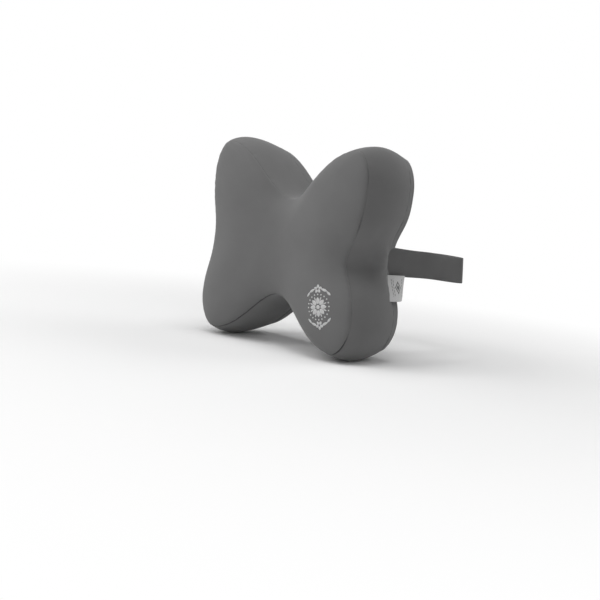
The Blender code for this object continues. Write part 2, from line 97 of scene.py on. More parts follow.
class Slot(str, Enum):
    """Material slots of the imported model's record."""

    FOAM = "foam"
    KNIT = "knit_fabric"
    WEBBING = "elastic_webbing"
    LABEL = "label_cloth"
    TAPE = "zip_tape"
    NYLON = "zip_nylon"
    METAL = "zip_metal"


class Side(int, Enum):
    """Sign of the zip's upper and lower row."""

    UPPER = 1
    LOWER = -1


class NodeWriter:
    """Short calls that add nodes to one tree."""

    def __init__(self, tree: bpy.types.NodeTree) -> None:
        """Keep the tree that the nodes go to."""
        self.tree = tree

    def add(self, kind: str, **inputs: object) -> bpy.types.Node:
        """Add a node and set or link its inputs.

        Args:
            kind: Node type without its ShaderNode prefix.
            **inputs: Socket names with underscores for spaces, each with a value or an output to link.

        Returns:
            The new node.
        """
        node = self.tree.nodes.new(f"ShaderNode{kind}")
        for name, value in inputs.items():
            self.feed(node.inputs[name.replace("_", " ")], value)
        return node

    def feed(self, socket: bpy.types.NodeSocket, value: object) -> None:
        """Link an output to a socket, or set the socket's own value.

        Args:
            socket: Input to feed.
            value: Output socket or plain value.
        """
        if isinstance(value, bpy.types.NodeSocket):
            self.tree.links.new(value, socket)
        else:
            socket.default_value = value

    def maths(self, operation: str, *values: object) -> bpy.types.NodeSocket:
        """Add a maths node.

        Args:
            operation: Operation of the node, such as MULTIPLY.
            *values: Its operands.

        Returns:
            Its output.
        """
        node = self.tree.nodes.new("ShaderNodeMath")
        node.operation = operation
        for socket, value in zip(node.inputs, values):
            self.feed(socket, value)
        return node.outputs[0]

    def blend(self, first: object, second: object, share: float) -> bpy.types.NodeSocket:
        """Blend two values."""
        kept = self.maths("MULTIPLY", first, 1 - share)
        return self.maths("ADD", kept, self.maths("MULTIPLY", second, share))

    def away(self, value: bpy.types.NodeSocket, middle: float) -> bpy.types.NodeSocket:
        """Return how far a value is from a middle."""
        return self.maths("ABSOLUTE", self.maths("SUBTRACT", value, middle))

    def ribs(self, place: bpy.types.NodeSocket, pitch: float) -> bpy.types.NodeSocket:
        """Return ribs, 0 between two of them and 1 on a crest."""
        turn = self.maths("MULTIPLY", self.maths("DIVIDE", place, pitch), math.pi)
        return self.maths("ABSOLUTE", self.maths("SINE", turn))

    def seen_directly(self) -> bpy.types.NodeSocket:
        """Return 1 for rays from the camera, and for those that metal or glass sends on."""
        path = self.add("LightPath").outputs
        shiny = self.maths("MAXIMUM", path["Is Glossy Ray"], path["Is Transmission Ray"])
        return self.maths("MAXIMUM", path["Is Camera Ray"], shiny)


class NodeGraph(NodeWriter):
    """Nodes of one Principled material."""

    def __init__(self, name: str, roughness: float, metallic: float = 0.0) -> None:
        """Start a material whose uniform values sit on the shader itself.

        Args:
            name: Name of the material.
            roughness: Roughness of the whole surface.
            metallic: 1 for bare metal and 0 for anything else.
        """
        self.material = bpy.data.materials.new(name)
        self.material.use_nodes = True
        super().__init__(self.material.node_tree)
        self.shader = self.tree.nodes["Principled BSDF"]
        self.set(Roughness=roughness, Metallic=metallic)

    def set(self, **values: float) -> None:
        """Set sockets of the shader, with underscores for the spaces in their names."""
        for name, value in values.items():
            self.shader.inputs[name.replace("_", " ")].default_value = value

    def surface_map(self) -> tuple[bpy.types.NodeSocket, bpy.types.NodeSocket]:
        """Return the two surface coordinates, in metres along the cloth."""
        where = self.add("TexCoord").outputs["UV"]
        split = self.add("SeparateXYZ", Vector=where)
        return split.outputs["X"], split.outputs["Y"]

    def noise(self, scale: float, detail: float = 3.0) -> bpy.types.NodeSocket:
        """Add noise in the piece's own space."""
        where = self.add("TexCoord").outputs["Object"]
        return self.add("TexNoise", Vector=where, Scale=scale, Detail=detail).outputs["Fac"]

    def ramp(self, factor: bpy.types.NodeSocket, low: Sequence[float], high: Sequence[float],
             start: float = 0.0, end: float = 1.0) -> bpy.types.NodeSocket:
        """Blend between two colours.

        Args:
            factor: Value that picks the colour.
            low: Colour at the start.
            high: Colour at the end.
            start: Factor at which the first colour ends.
            end: Factor at which the second colour is reached.

        Returns:
            The colour.
        """
        node = self.add("ValToRGB", Fac=factor)
        first, last = node.color_ramp.elements
        first.position, last.position = start, end
        first.color, last.color = (*low, 1.0), (*high, 1.0)
        return node.outputs["Color"]

    def greys(self, factor: bpy.types.NodeSocket, level: float, contrast: float,
              span: tuple[float, float] = (0.0, 1.0), tint: float = 0.0) -> bpy.types.NodeSocket:
        """Blend between two greys on either side of a level."""
        low, high = grey(level * (1 - contrast), tint), grey(level * (1 + contrast), tint)
        return self.ramp(factor, low, high, *span)

    def colour(self, value: bpy.types.NodeSocket) -> None:
        """Link a varying base colour."""
        self.tree.links.new(value, self.shader.inputs["Base Color"])

    def relief(self, height: bpy.types.NodeSocket, depth: float, strength: float) -> None:
        """Link bump to the shader."""
        bump = self.add("Bump", Height=height, Distance=depth, Strength=strength)
        self.tree.links.new(bump.outputs["Normal"], self.shader.inputs["Normal"])


def grey(level: float, tint: float = 0.0) -> tuple[float, float, float]:
    """Return a grey with a slight blue tint.

    Args:
        level: Linear level of the grey.
        tint: How much the blue rises above the red, as a share.

    Returns:
        Linear colour.
    """
    return level * (1 - tint), level, level * (1 + tint)


@dataclass(frozen=True)
class KnitFinish:
    """Fine matt knit of the cover, with painted shade that darkens its colour down in an open seam."""

    level: float = 0.150
    mottle: float = 0.05
    roughness: float = 0.92
    specular: float = 0.18
    sheen: float = 0.16
    sheen_roughness: float = 0.55
    wale: float = 0.0011
    course: float = 0.0008
    groove_power: float = 3.0
    fuzz_scale: float = 2600.0
    fuzz_share: float = 0.35
    patch_scale: float = 38.0
    stitch_share: float = 0.3
    tone_span: tuple[float, float] = (0.3, 0.7)
    relief: float = 0.00012
    relief_strength: float = 0.35
    # Strength of the painted shade in an open seam.
    painted_seam_shade_strength: float = 0.72

    def stitches(self, graph: NodeGraph) -> bpy.types.NodeSocket:
        """Return the height of the knit's loops, which lean to either side of each column.

        Args:
            graph: Material's nodes.

        Returns:
            Height from 0 to 1.
        """
        across, along = graph.surface_map()
        column = graph.maths("FRACT", graph.maths("DIVIDE", across, self.wale))
        lean = graph.away(column, 0.5)
        row = graph.maths("ADD", graph.maths("DIVIDE", along, self.course), lean)
        loop = graph.maths("SINE", graph.maths("MULTIPLY", graph.maths("FRACT", row), math.pi))
        side = graph.maths("POWER", graph.maths("MULTIPLY", lean, 2.0), self.groove_power)
        return graph.maths("MULTIPLY", loop, graph.maths("SUBTRACT", 1.0, side))

    def build(self) -> bpy.types.Material:
        """Return the knit's material."""
        graph = NodeGraph("cover_knit", self.roughness)
        graph.set(Specular_IOR_Level=self.specular, Sheen_Weight=self.sheen,
                  Sheen_Roughness=self.sheen_roughness)
        height = graph.blend(self.stitches(graph), graph.noise(self.fuzz_scale, detail=2.0), self.fuzz_share)
        shade = graph.blend(graph.noise(self.patch_scale, detail=4.0), height, self.stitch_share)
        tone = graph.greys(shade, self.level, self.mottle, self.tone_span)
        # Painted shade: the colour is darkened by the open seams' shade attribute.
        painted_shade_attribute = graph.add("Attribute")
        painted_shade_attribute.attribute_name = PAINTED_SEAM_SHADE
        kept = graph.maths("SUBTRACT", 1.0, graph.maths("MULTIPLY", painted_shade_attribute.outputs["Fac"], self.painted_seam_shade_strength))
        tone_with_painted_shade = graph.add("VectorMath")
        tone_with_painted_shade.operation = "SCALE"
        graph.feed(tone_with_painted_shade.inputs[0], tone)
        graph.feed(tone_with_painted_shade.inputs["Scale"], kept)
        graph.colour(tone_with_painted_shade.outputs[0])
        graph.relief(height, self.relief, self.relief_strength)
        return graph.material


@dataclass(frozen=True)
class WebbingFinish:
    """Woven elastic with fine cords along its length."""

    level: float = 0.100
    contrast: float = 0.16
    roughness: float = 0.86
    specular: float = 0.22
    sheen: float = 0.18
    sheen_roughness: float = 0.45
    cord: float = 0.00115
    pick: float = 0.0007
    pick_share: float = 0.35
    wear_scale: float = 60.0
    tone_span: tuple[float, float] = (0.25, 0.8)
    relief: float = 0.00022
    relief_strength: float = 0.55

    def build(self) -> bpy.types.Material:
        """Return the webbing's material."""
        graph = NodeGraph("strap_elastic", self.roughness)
        graph.set(Specular_IOR_Level=self.specular, Sheen_Weight=self.sheen,
                  Sheen_Roughness=self.sheen_roughness)
        across, along = graph.surface_map()
        cords = graph.maths("FLOOR", graph.maths("DIVIDE", across, self.cord))
        offset = graph.maths("MULTIPLY", cords, 0.5)
        pick = graph.maths("FRACT", graph.maths("ADD", graph.maths("DIVIDE", along, self.pick), offset))
        knot = graph.maths("SINE", graph.maths("MULTIPLY", pick, math.pi))
        height = graph.blend(graph.ribs(across, self.cord), knot, self.pick_share)
        worn = graph.blend(height, graph.noise(self.wear_scale), 0.5)
        graph.colour(graph.greys(worn, self.level, self.contrast, self.tone_span))
        graph.relief(height, self.relief, self.relief_strength)
        return graph.material


@dataclass(frozen=True)
class LabelFinish:
    """Pale woven ribbon with a few plain printed bars."""

    level: float = 0.66
    ink: float = 0.10
    roughness: float = 0.62
    specular: float = 0.3
    sheen: float = 0.1
    lines: tuple[float, ...] = (0.0052, 0.0076, 0.0212)
    line_width: float = 0.0007
    line_span: tuple[float, float] = (0.0050, 0.0230)
    word_length: float = 0.0034
    word_share: float = 0.72
    word_shift: float = 0.37
    diamond_centre: tuple[float, float] = (0.0144, 0.0140)
    diamond_half: tuple[float, float] = (0.0050, 0.0068)
    diamond_rim: float = 0.70
    diamond_core: float = 0.46
    weft: float = 0.00042
    warp: float = 0.00030
    weave_share: float = 0.28
    ink_cover: float = 0.55
    ink_scale: float = 900.0
    relief: float = 0.00008
    relief_strength: float = 0.4

    def dashes(self, graph: NodeGraph, out: bpy.types.NodeSocket,
               up: bpy.types.NodeSocket) -> bpy.types.NodeSocket:
        """Return 1 on the broken lines along the label.

        Args:
            graph: Material's nodes.
            out: Distance from the seam.
            up: Height above the label's lower edge.

        Returns:
            Mask of all lines.
        """
        inside = graph.maths("MULTIPLY", graph.maths("GREATER_THAN", up, self.line_span[0]),
                             graph.maths("LESS_THAN", up, self.line_span[1]))
        words = graph.maths("DIVIDE", up, self.word_length)
        mask = None
        for number, place in enumerate(self.lines):
            near = graph.maths("LESS_THAN", graph.away(out, place), self.line_width / 2)
            step = graph.maths("FRACT", graph.maths("ADD", words, self.word_shift * number))
            line = graph.maths("MULTIPLY", near, graph.maths("LESS_THAN", step, self.word_share))
            mask = line if mask is None else graph.maths("MAXIMUM", mask, line)
        return graph.maths("MULTIPLY", mask, inside)

    def inked(self, graph: NodeGraph, out: bpy.types.NodeSocket,
              up: bpy.types.NodeSocket) -> bpy.types.NodeSocket:
        """Return 1 where the plain ornament is printed: a diamond in a diamond and the broken lines.

        Args:
            graph: Material's nodes.
            out: Distance from the seam.
            up: Height above the label's lower edge.

        Returns:
            Mask of the print.
        """
        sideways = graph.maths("DIVIDE", graph.away(out, self.diamond_centre[0]), self.diamond_half[0])
        upward = graph.maths("DIVIDE", graph.away(up, self.diamond_centre[1]), self.diamond_half[1])
        reach = graph.maths("ADD", sideways, upward)
        rim = graph.maths("MULTIPLY", graph.maths("LESS_THAN", reach, 1.0),
                          graph.maths("GREATER_THAN", reach, self.diamond_rim))
        core = graph.maths("LESS_THAN", reach, self.diamond_core)
        return graph.maths("MAXIMUM", graph.maths("MAXIMUM", rim, core), self.dashes(graph, out, up))

    def build(self) -> bpy.types.Material:
        """Return the label's material."""
        graph = NodeGraph("label_ribbon", self.roughness)
        graph.set(Specular_IOR_Level=self.specular, Sheen_Weight=self.sheen)
        out, up = graph.surface_map()
        weft = graph.maths("SINE", graph.maths("MULTIPLY", up, 2 * math.pi / self.weft))
        warp = graph.maths("SINE", graph.maths("MULTIPLY", out, 2 * math.pi / self.warp))
        weave = graph.blend(1.0, graph.maths("MULTIPLY", weft, warp), 0.5)
        cover = graph.maths("ADD", self.ink_cover, graph.noise(self.ink_scale))
        patchy = graph.maths("MULTIPLY", self.inked(graph, out, up), cover)
        cloth = graph.maths("SUBTRACT", graph.blend(1.0, weave, self.weave_share), patchy)
        graph.colour(graph.ramp(cloth, grey(self.ink), grey(self.level)))
        graph.relief(weave, self.relief, self.relief_strength)
        return graph.material


@dataclass(frozen=True)
class ThreadFinish:
    """Satin stitch or sewing thread, whose strands lie across the stitch."""

    name: str
    level: float
    sheen: float = 0.25
    roughness: float = 0.52
    specular: float = 0.42
    anisotropy: float = 0.35
    strand: float = 0.00036
    fleck_scale: float = 700.0
    fleck_share: float = 0.4
    shadow: float = 0.62
    tone_span: tuple[float, float] = (0.15, 0.75)
    relief: float = 0.00010
    relief_strength: float = 0.5

    def build(self) -> bpy.types.Material:
        """Return the thread's material."""
        graph = NodeGraph(self.name, self.roughness)
        graph.set(Specular_IOR_Level=self.specular, Sheen_Weight=self.sheen, Anisotropic=self.anisotropy)
        _, along = graph.surface_map()
        strand = graph.ribs(along, self.strand)
        tone = graph.blend(strand, graph.noise(self.fleck_scale), self.fleck_share)
        graph.colour(graph.ramp(tone, grey(self.level * self.shadow), grey(self.level), *self.tone_span))
        graph.relief(strand, self.relief, self.relief_strength)
        return graph.material


@dataclass(frozen=True)
class TapeFinish:
    """Close twill of the zip's tapes."""

    level: float = 0.050
    contrast: float = 0.2
    roughness: float = 0.85
    specular: float = 0.2
    sheen: float = 0.12
    twill: float = 0.0008
    relief: float = 0.00012
    relief_strength: float = 0.5

    def build(self) -> bpy.types.Material:
        """Return the tape's material."""
        graph = NodeGraph("zip_twill", self.roughness)
        graph.set(Specular_IOR_Level=self.specular, Sheen_Weight=self.sheen)
        across, along = graph.surface_map()
        rib = graph.ribs(graph.maths("ADD", across, along), self.twill)
        graph.colour(graph.greys(rib, self.level, self.contrast))
        graph.relief(rib, self.relief, self.relief_strength)
        return graph.material


@dataclass(frozen=True)
class NylonFinish:
    """Moulded nylon of the zip's teeth."""

    level: float = 0.035
    contrast: float = 0.15
    roughness: float = 0.38
    specular: float = 0.5
    mottle_scale: float = 1500.0
    tone_span: tuple[float, float] = (0.3, 0.7)
    relief: float = 0.00003
    relief_strength: float = 0.3

    def build(self) -> bpy.types.Material:
        """Return the nylon's material."""
        graph = NodeGraph("zip_teeth_nylon", self.roughness)
        graph.set(Specular_IOR_Level=self.specular)
        mottle = graph.noise(self.mottle_scale)
        graph.colour(graph.greys(mottle, self.level, self.contrast, self.tone_span))
        graph.relief(mottle, self.relief, self.relief_strength)
        return graph.material


@dataclass(frozen=True)
class MetalFinish:
    """Dark plated metal with fine brushing and brighter worn patches."""

    level: float = 0.34
    contrast: float = 0.3
    tint: float = 0.01
    roughness: float = 0.28
    anisotropy: float = 0.3
    streaks: tuple[float, float, float] = (120.0, 120.0, 3000.0)
    streak_scale: float = 3.0
    wear_scale: float = 300.0
    tone_span: tuple[float, float] = (0.3, 0.7)
    relief: float = 0.00002
    relief_strength: float = 0.25

    def build(self) -> bpy.types.Material:
        """Return the metal's material."""
        graph = NodeGraph("zip_plated_metal", self.roughness, metallic=1.0)
        graph.set(Anisotropic=self.anisotropy)
        where = graph.add("TexCoord").outputs["Object"]
        streak = graph.add("Mapping", Vector=where)
        streak.inputs["Scale"].default_value = self.streaks
        along = streak.outputs["Vector"]
        brushed = graph.add("TexNoise", Vector=along, Scale=self.streak_scale, Detail=2.0).outputs["Fac"]
        wear = graph.blend(brushed, graph.noise(self.wear_scale), 0.5)
        graph.colour(graph.greys(wear, self.level, self.contrast, self.tone_span, self.tint))
        graph.relief(brushed, self.relief, self.relief_strength)
        return graph.material


@dataclass(frozen=True)
class FoamFinish:
    """Open-cell foam inside the cover."""

    deep: tuple[float, float, float] = (0.50, 0.44, 0.30)
    pale: tuple[float, float, float] = (0.74, 0.68, 0.52)
    roughness: float = 0.95
    specular: float = 0.1
    glow: float = 0.05
    pore_scale: float = 900.0
    tone_span: tuple[float, float] = (0.1, 0.6)
    relief: float = 0.0004
    relief_strength: float = 0.6

    def build(self) -> bpy.types.Material:
        """Return the foam's material."""
        graph = NodeGraph("core_foam", self.roughness)
        graph.set(Specular_IOR_Level=self.specular, Subsurface_Weight=self.glow)
        where = graph.add("TexCoord").outputs["Object"]
        pores = graph.add("TexVoronoi", Vector=where, Scale=self.pore_scale).outputs["Distance"]
        graph.colour(graph.ramp(pores, self.deep, self.pale, *self.tone_span))
        graph.relief(pores, self.relief, self.relief_strength)
        return graph.material


@dataclass(frozen=True)
class Lobe:
    """Seam outline of one lobe, from the middle of the cushion."""

    crown_x: float
    crown_z: float
    side_x: float
    side_z: float
    notch_z: float
    corner: float
    swell_to_crown: float = 0.25
    swell_to_notch: float = 0.34

    def swollen(self, swell: float) -> "Lobe":
        """Return the lobe where the side panel stands out by a swell."""
        return replace(self, crown_x=self.crown_x + self.swell_to_crown * swell, crown_z=self.crown_z + swell,
                       side_x=self.side_x + swell, notch_z=self.notch_z + self.swell_to_notch * swell)


@dataclass(frozen=True)
class CushionForm:
    """Driving sizes of the cushion, the same as those of its solids."""

    upper: Lobe = Lobe(0.0920, 0.1055, 0.1090, 0.0710, 0.0490, 0.50)
    lower: Lobe = Lobe(0.0870, 0.1040, 0.1080, 0.0685, 0.0550, 0.49)
    notch_handle: float = 0.29
    crown_handle: float = 0.44
    waist_handle: float = 0.39
    waist_x: float = 0.1030
    waist_start: float = 0.50
    waist_pull: float = 0.0112
    waist_pull_front: float = 0.15
    waist_pull_power: float = 2.0
    waist_swell: float = 0.80
    waist_reach: float = 0.0370
    waist_falloff: int = 3
    waist_saddle: float = 0.0040
    waist_seam_dip: float = 0.0020
    strap_z: float = -0.0065
    upper_lobe_depth: float = 0.1030
    lower_lobe_depth: float = 0.1060
    middle_depth: float = 0.0910
    front_seam_depth: float = 0.0877
    front_seam_dip: float = 0.0060
    back_seam_depth: float = 0.0180
    back_edge_depth: float = 0.0090
    lobe_reach: float = 0.0850
    lobe_blend_z: float = 0.0500
    roundness: float = 2.6
    flat_share: float = 0.84
    gusset_swell: float = 0.0078
    swell_skew: float = 0.82
    steps: tuple[int, int, int] = (60, 28, 42)

    @property
    def back_seam_share(self) -> float:
        """Back seam's place between the front seam, 0, and the back edge, 1."""
        side = self.front_seam_depth - self.back_edge_depth
        return (self.front_seam_depth - self.back_seam_depth) / side

    def lobe_side(self, lobe: Lobe, waist_x: float) -> np.ndarray:
        """Return one lobe's outline from the notch over the crown and down to the waist.

        Args:
            lobe: Lobe to draw.
            waist_x: Half width at the waist.

        Returns:
            Points as x, z.
        """
        crown, side = (lobe.crown_x, lobe.crown_z), (lobe.side_x, lobe.side_z)
        corner_x = lobe.corner * (lobe.side_x - lobe.crown_x)
        corner_z = lobe.corner * (lobe.crown_z - lobe.side_z)
        waist = self.waist_handle * lobe.side_z
        first, second, third = self.steps
        return np.vstack([
            bezier((0, lobe.notch_z), (self.notch_handle * lobe.crown_x, lobe.notch_z),
                   (lobe.crown_x * (1 - self.crown_handle), lobe.crown_z), crown, first),
            bezier(crown, (lobe.crown_x + corner_x, lobe.crown_z),
                   (lobe.side_x, lobe.side_z + corner_z), side, second),
            bezier(side, (lobe.side_x, lobe.side_z - waist), (waist_x, waist), (waist_x, 0), third),
        ])

    def waist(self, points: np.ndarray) -> np.ndarray:
        """Return how strongly the strap draws on each point, 1 beside the strap and 0 far from it.

        Args:
            points: Points as x, z.

        Returns:
            Shares from 0 to 1.
        """
        side = (np.abs(points[:, 0]) / self.waist_x - self.waist_start) / (1 - self.waist_start)
        away = np.abs((points[:, 1] - self.strap_z) / self.waist_reach)
        return smooth(side) * np.exp(-away**self.waist_falloff)

    def pull(self, share: float) -> float:
        """Return how far the strap draws the side in."""
        grown = min(share / self.back_seam_share, 1.0) ** self.waist_pull_power
        return self.waist_pull * (self.waist_pull_front + (1 - self.waist_pull_front) * grown)

    def outline(self, share: float) -> np.ndarray:
        """Return the closed outline of the side, clockwise from the upper notch.

        Args:
            share: 0 at the front seam and 1 at the back edge.

        Returns:
            Points as x, z.
        """
        swell = self.gusset_swell * math.sin(math.pi * share**self.swell_skew)
        waist_x = self.waist_x + self.waist_swell * swell
        upper = np.vstack([self.lobe_side(self.upper.swollen(swell), waist_x), [[waist_x, 0]]])
        lower = self.lobe_side(self.lower.swollen(swell), waist_x) * [1, -1]
        right = np.vstack([upper, lower[::-1]])
        right[:, 0] -= self.pull(share) * self.waist(right)
        return np.vstack([right, right[::-1][1:-1] * [-1, 1]])

    def lobe_share(self, points: np.ndarray) -> np.ndarray:
        """Ease from 0 in the middle of the front to 1 where the lobes are deepest."""
        return smooth(np.abs(points[:, 0]) / self.lobe_reach)

    def seam_depths(self) -> np.ndarray:
        """Return the front seam's depth at each point of the outline."""
        seam = self.outline(0.0)
        dip = self.front_seam_dip * (1 - self.lobe_share(seam)) + self.waist_seam_dip * self.waist(seam)
        return self.front_seam_depth - dip

    def crown_depths(self, points: np.ndarray) -> np.ndarray:
        """Return the depth that the front would have without its rounding towards the seam.

        Args:
            points: Points as x, z.

        Returns:
            Depths.
        """
        rise = smooth((points[:, 1] / self.lobe_blend_z + 1) / 2)
        lobe = self.lower_lobe_depth + (self.upper_lobe_depth - self.lower_lobe_depth) * rise
        lobe = lobe - self.waist_saddle * self.waist(points)
        return self.middle_depth + (lobe - self.middle_depth) * self.lobe_share(points)

    def front(self, count: int) -> np.ndarray:
        """Return dense rows of the front panel from its middle to its seam.

        Args:
            count: Number of rows.

        Returns:
            Points as rows, columns, xyz.
        """
        seam, edge = self.outline(0.0), self.seam_depths()
        rows = []
        for step in range(1, count + 1):
            radius = math.sin(math.pi / 2 * step / count)
            crown = self.crown_depths(seam * radius)
            rows.append(layer(seam * radius, edge + (crown - edge) * math.sqrt(1 - radius**self.roundness)))
        return np.array(rows)

    def side(self, first: float, last: float, count: int) -> np.ndarray:
        """Return dense rows of the side between two shares of the way to the back edge.

        Args:
            first: Share of the first row.
            last: Share of the last row.
            count: Number of rows.

        Returns:
            Points as rows, columns, xyz.
        """
        edge = self.seam_depths()
        return np.array([layer(self.outline(share), edge + (self.back_edge_depth - edge) * share)
                         for share in np.linspace(first, last, count)])

    def gusset(self, count: int) -> np.ndarray:
        """Return dense rows of the side panel from the front seam to the back seam."""
        return self.side(0.0, self.back_seam_share, count)

    def back(self, count: int) -> np.ndarray:
        """Return dense rows of the back panel from its seam over the edge to the rim of the flat.

        Args:
            count: Number of rows on either side of the edge.

        Returns:
            Points as rows, columns, xyz.
        """
        edge = self.outline(1.0)
        rows = list(self.side(self.back_seam_share, 1.0, count))
        for turn in np.linspace(0.0, math.pi / 2, count)[1:]:
            radius = self.flat_share + (1 - self.flat_share) * math.cos(turn)
            depth = self.back_edge_depth * (1 - math.sin(turn))
            rows.append(layer(edge * radius, np.full(len(edge), depth)))
        return np.array(rows)

    def seam_x(self, z: float) -> float:
        """Return the back seam's half width between the lobes.

        Args:
            z: Height at which to measure.

        Returns:
            Distance from the middle plane.
        """
        points = self.outline(self.back_seam_share)[: 2 * sum(self.steps) + 1]
        side = points[(points[:, 1] <= self.upper.side_z) & (points[:, 1] >= -self.lower.side_z)]
        return float(np.interp(z, side[::-1, 1], side[::-1, 0]))


@dataclass(frozen=True)
class Hollow:
    """Soft hollow pressed into the cover and its foam.

    Args:
        centre: Middle of the hollow, in metres.
        reach: How far it spreads along the plan and along the height.
        depth: How deep it is at its middle.
        heading_deg: Direction in which the cloth moves, from -X towards +Y.
        fade: Depths in front of the flat back at which it starts and at which it is whole.
    """

    centre: tuple[float, float, float]
    reach: tuple[float, float]
    depth: float
    heading_deg: float
    fade: tuple[float, float] = (0.0190, 0.0450)

    def moved(self, points: np.ndarray) -> np.ndarray:
        """Return points after the hollow has been pressed into them.

        Args:
            points: Points whose last axis is xyz.

        Returns:
            The moved points.
        """
        away = points - np.array(self.centre)
        plan = np.hypot(away[..., 0], away[..., 1]) / self.reach[0]
        ahead = between(-points[..., 1], *self.fade)
        drop = self.depth * ahead * np.exp(-plan**2 - (away[..., 2] / self.reach[1]) ** 2)
        heading = math.radians(self.heading_deg)
        return points + drop[..., None] * np.array([-math.cos(heading), math.sin(heading), 0.0])


WAIST_HOLLOW = Hollow((0.1040, -0.0660, -0.0090), (0.0480, 0.0245), 0.0185, 22.0, (0.0170, 0.0620))
NOTCH_HOLLOW = Hollow((0.0, -0.0850, 0.0520), (0.0300, 0.0170), 0.0050, 90.0)
HOLLOWS = (WAIST_HOLLOW, NOTCH_HOLLOW)


def pressed(points: np.ndarray) -> np.ndarray:
    """Return points after all hollows have been pressed into them.

    Args:
        points: Points whose last axis is xyz.

    Returns:
        The moved points.
    """
    for hollow in HOLLOWS:
        points = hollow.moved(points)
    return points


def smooth(share: np.ndarray | float) -> np.ndarray | float:
    """Ease from 0 to 1.

    Args:
        share: Value that is clipped to the range from 0 to 1.

    Returns:
        The eased value.
    """
    share = np.clip(share, 0.0, 1.0)
    return share * share * (3 - 2 * share)


def between(value: np.ndarray | float, low: float, high: float) -> np.ndarray | float:
    """Ease from 0 to 1 between two values.

    Args:
        value: Value to ease.
        low: Value at which it leaves 0.
        high: Value at which it reaches 1.

    Returns:
        The eased value.
    """
    return smooth((value - low) / (high - low))


def bezier(start: Sequence[float], leave: Sequence[float], arrive: Sequence[float],
           end: Sequence[float], count: int) -> np.ndarray:
    """Return points of a cubic curve without its last one.

    Args:
        start: First point.
        leave: Handle of the first point.
        arrive: Handle of the last point.
        end: Last point.
        count: Number of points.

    Returns:
        The points.
    """
    t = np.arange(count)[:, None] / count
    start, leave, arrive, end = (np.array(point, float) for point in (start, leave, arrive, end))
    return (1 - t) ** 3 * start + 3 * (1 - t) ** 2 * t * leave + 3 * (1 - t) * t**2 * arrive + t**3 * end


def layer(points: np.ndarray, depth: np.ndarray) -> np.ndarray:
    """Set outline points at a depth in front of the flat back.

    Args:
        points: Outline as x, z.
        depth: Depth at each point.

    Returns:
        Points as xyz.
    """
    return np.column_stack([points[:, 0], -depth, points[:, 1]])


def run_lengths(points: np.ndarray) -> np.ndarray:
    """Return the distance along a line of points, or along every column of rows, from 0 at the first.

    Args:
        points: Points as a line, xyz or as rows, columns, xyz.

    Returns:
        One distance a point.
    """
    steps = np.linalg.norm(np.diff(points, axis=0), axis=-1)
    return np.concatenate([np.zeros_like(steps[:1]), np.cumsum(steps, axis=0)])


def resample(rows: np.ndarray, places: Callable[[float], np.ndarray]) -> np.ndarray:
    """Redraw every column with points at chosen distances.

    Args:
        rows: Dense points as rows, columns, xyz.
        places: Gives the distances for a column of some length.

    Returns:
        Points as rows, columns, xyz.
    """
    along = run_lengths(rows)
    columns = []
    for i in range(rows.shape[1]):
        wanted = places(along[-1, i])
        spots = [np.interp(wanted, along[:, i], rows[:, i, axis]) for axis in range(3)]
        columns.append(np.stack(spots, axis=1))
    return np.stack(columns, axis=1)


def outward(rows: np.ndarray) -> np.ndarray:
    """Return unit normals of a closed band of rows, facing away from the cushion's middle.

    Args:
        rows: Points as rows, columns, xyz.

    Returns:
        Normals in the same layout.
    """
    around = np.roll(rows, -1, axis=1) - np.roll(rows, 1, axis=1)
    along = np.gradient(rows, axis=0)
    normals = unit(np.cross(around, along))
    if np.sum(normals * (rows - np.array(CUSHION_MIDDLE))) < 0:
        normals = -normals
    return normals


def new_object(name: str, data: bpy.types.ID) -> bpy.types.Object:
    """Link a mesh, camera or light as a new object.

    Args:
        name: Name of the object.
        data: What it holds.

    Returns:
        The object.
    """
    made = bpy.data.objects.new(name, data)
    bpy.context.scene.collection.objects.link(made)
    return made


def mesh_from_rows(name: str, rows: np.ndarray, surface: np.ndarray, closed: bool = True,
                   pole: np.ndarray | None = None) -> bpy.types.Object:
    """Build a smooth quad mesh with its surface map.

    Args:
        name: Name of the object.
        rows: Points as rows, columns, xyz.
        surface: Map as rows, columns plus one, uv, in metres.
        closed: Whether the last column joins the first.
        pole: Middle point that closes the first row with a fan.

    Returns:
        The object.
    """
    row_count, column_count = rows.shape[:2]
    span = column_count if closed else column_count - 1
    row, column = np.meshgrid(np.arange(row_count - 1), np.arange(span), indexing="ij")
    row, column = row.ravel(), column.ravel()
    after = (column + 1) % column_count
    faces = np.stack([row * column_count + column, row * column_count + after,
                      (row + 1) * column_count + after, (row + 1) * column_count + column], axis=1).tolist()
    corners = np.stack([surface[row, column], surface[row, column + 1],
                        surface[row + 1, column + 1], surface[row + 1, column]], axis=1).reshape(-1, 2)
    points = rows.reshape(-1, 3).tolist()
    if pole is not None:
        points.append(pole.tolist())
        middle = surface[0].mean(axis=0)
        fan = [[len(points) - 1, (i + 1) % column_count, i] for i in range(column_count)]
        faces += fan
        extra = [uv for i in range(column_count) for uv in (middle, surface[0, i + 1], surface[0, i])]
        corners = np.vstack([corners, np.array(extra)])
    mesh = bpy.data.meshes.new(name)
    mesh.from_pydata(points, [], faces)
    layer_uv = mesh.uv_layers.new(name="cloth")
    layer_uv.data.foreach_set("uv", corners.astype(np.float32).ravel())
    mesh.shade_smooth()
    mesh.update()
    return new_object(name, mesh)


def turn_out(piece: bpy.types.Object, middle: Vector) -> None:
    """Flip a mesh whose faces look towards its middle.

    Args:
        piece: Object to turn.
        middle: Point that the faces should look away from.
    """
    facing = sum(face.normal.dot(face.center - middle) * face.area for face in piece.data.polygons)
    if facing < 0:
        piece.data.flip_normals()


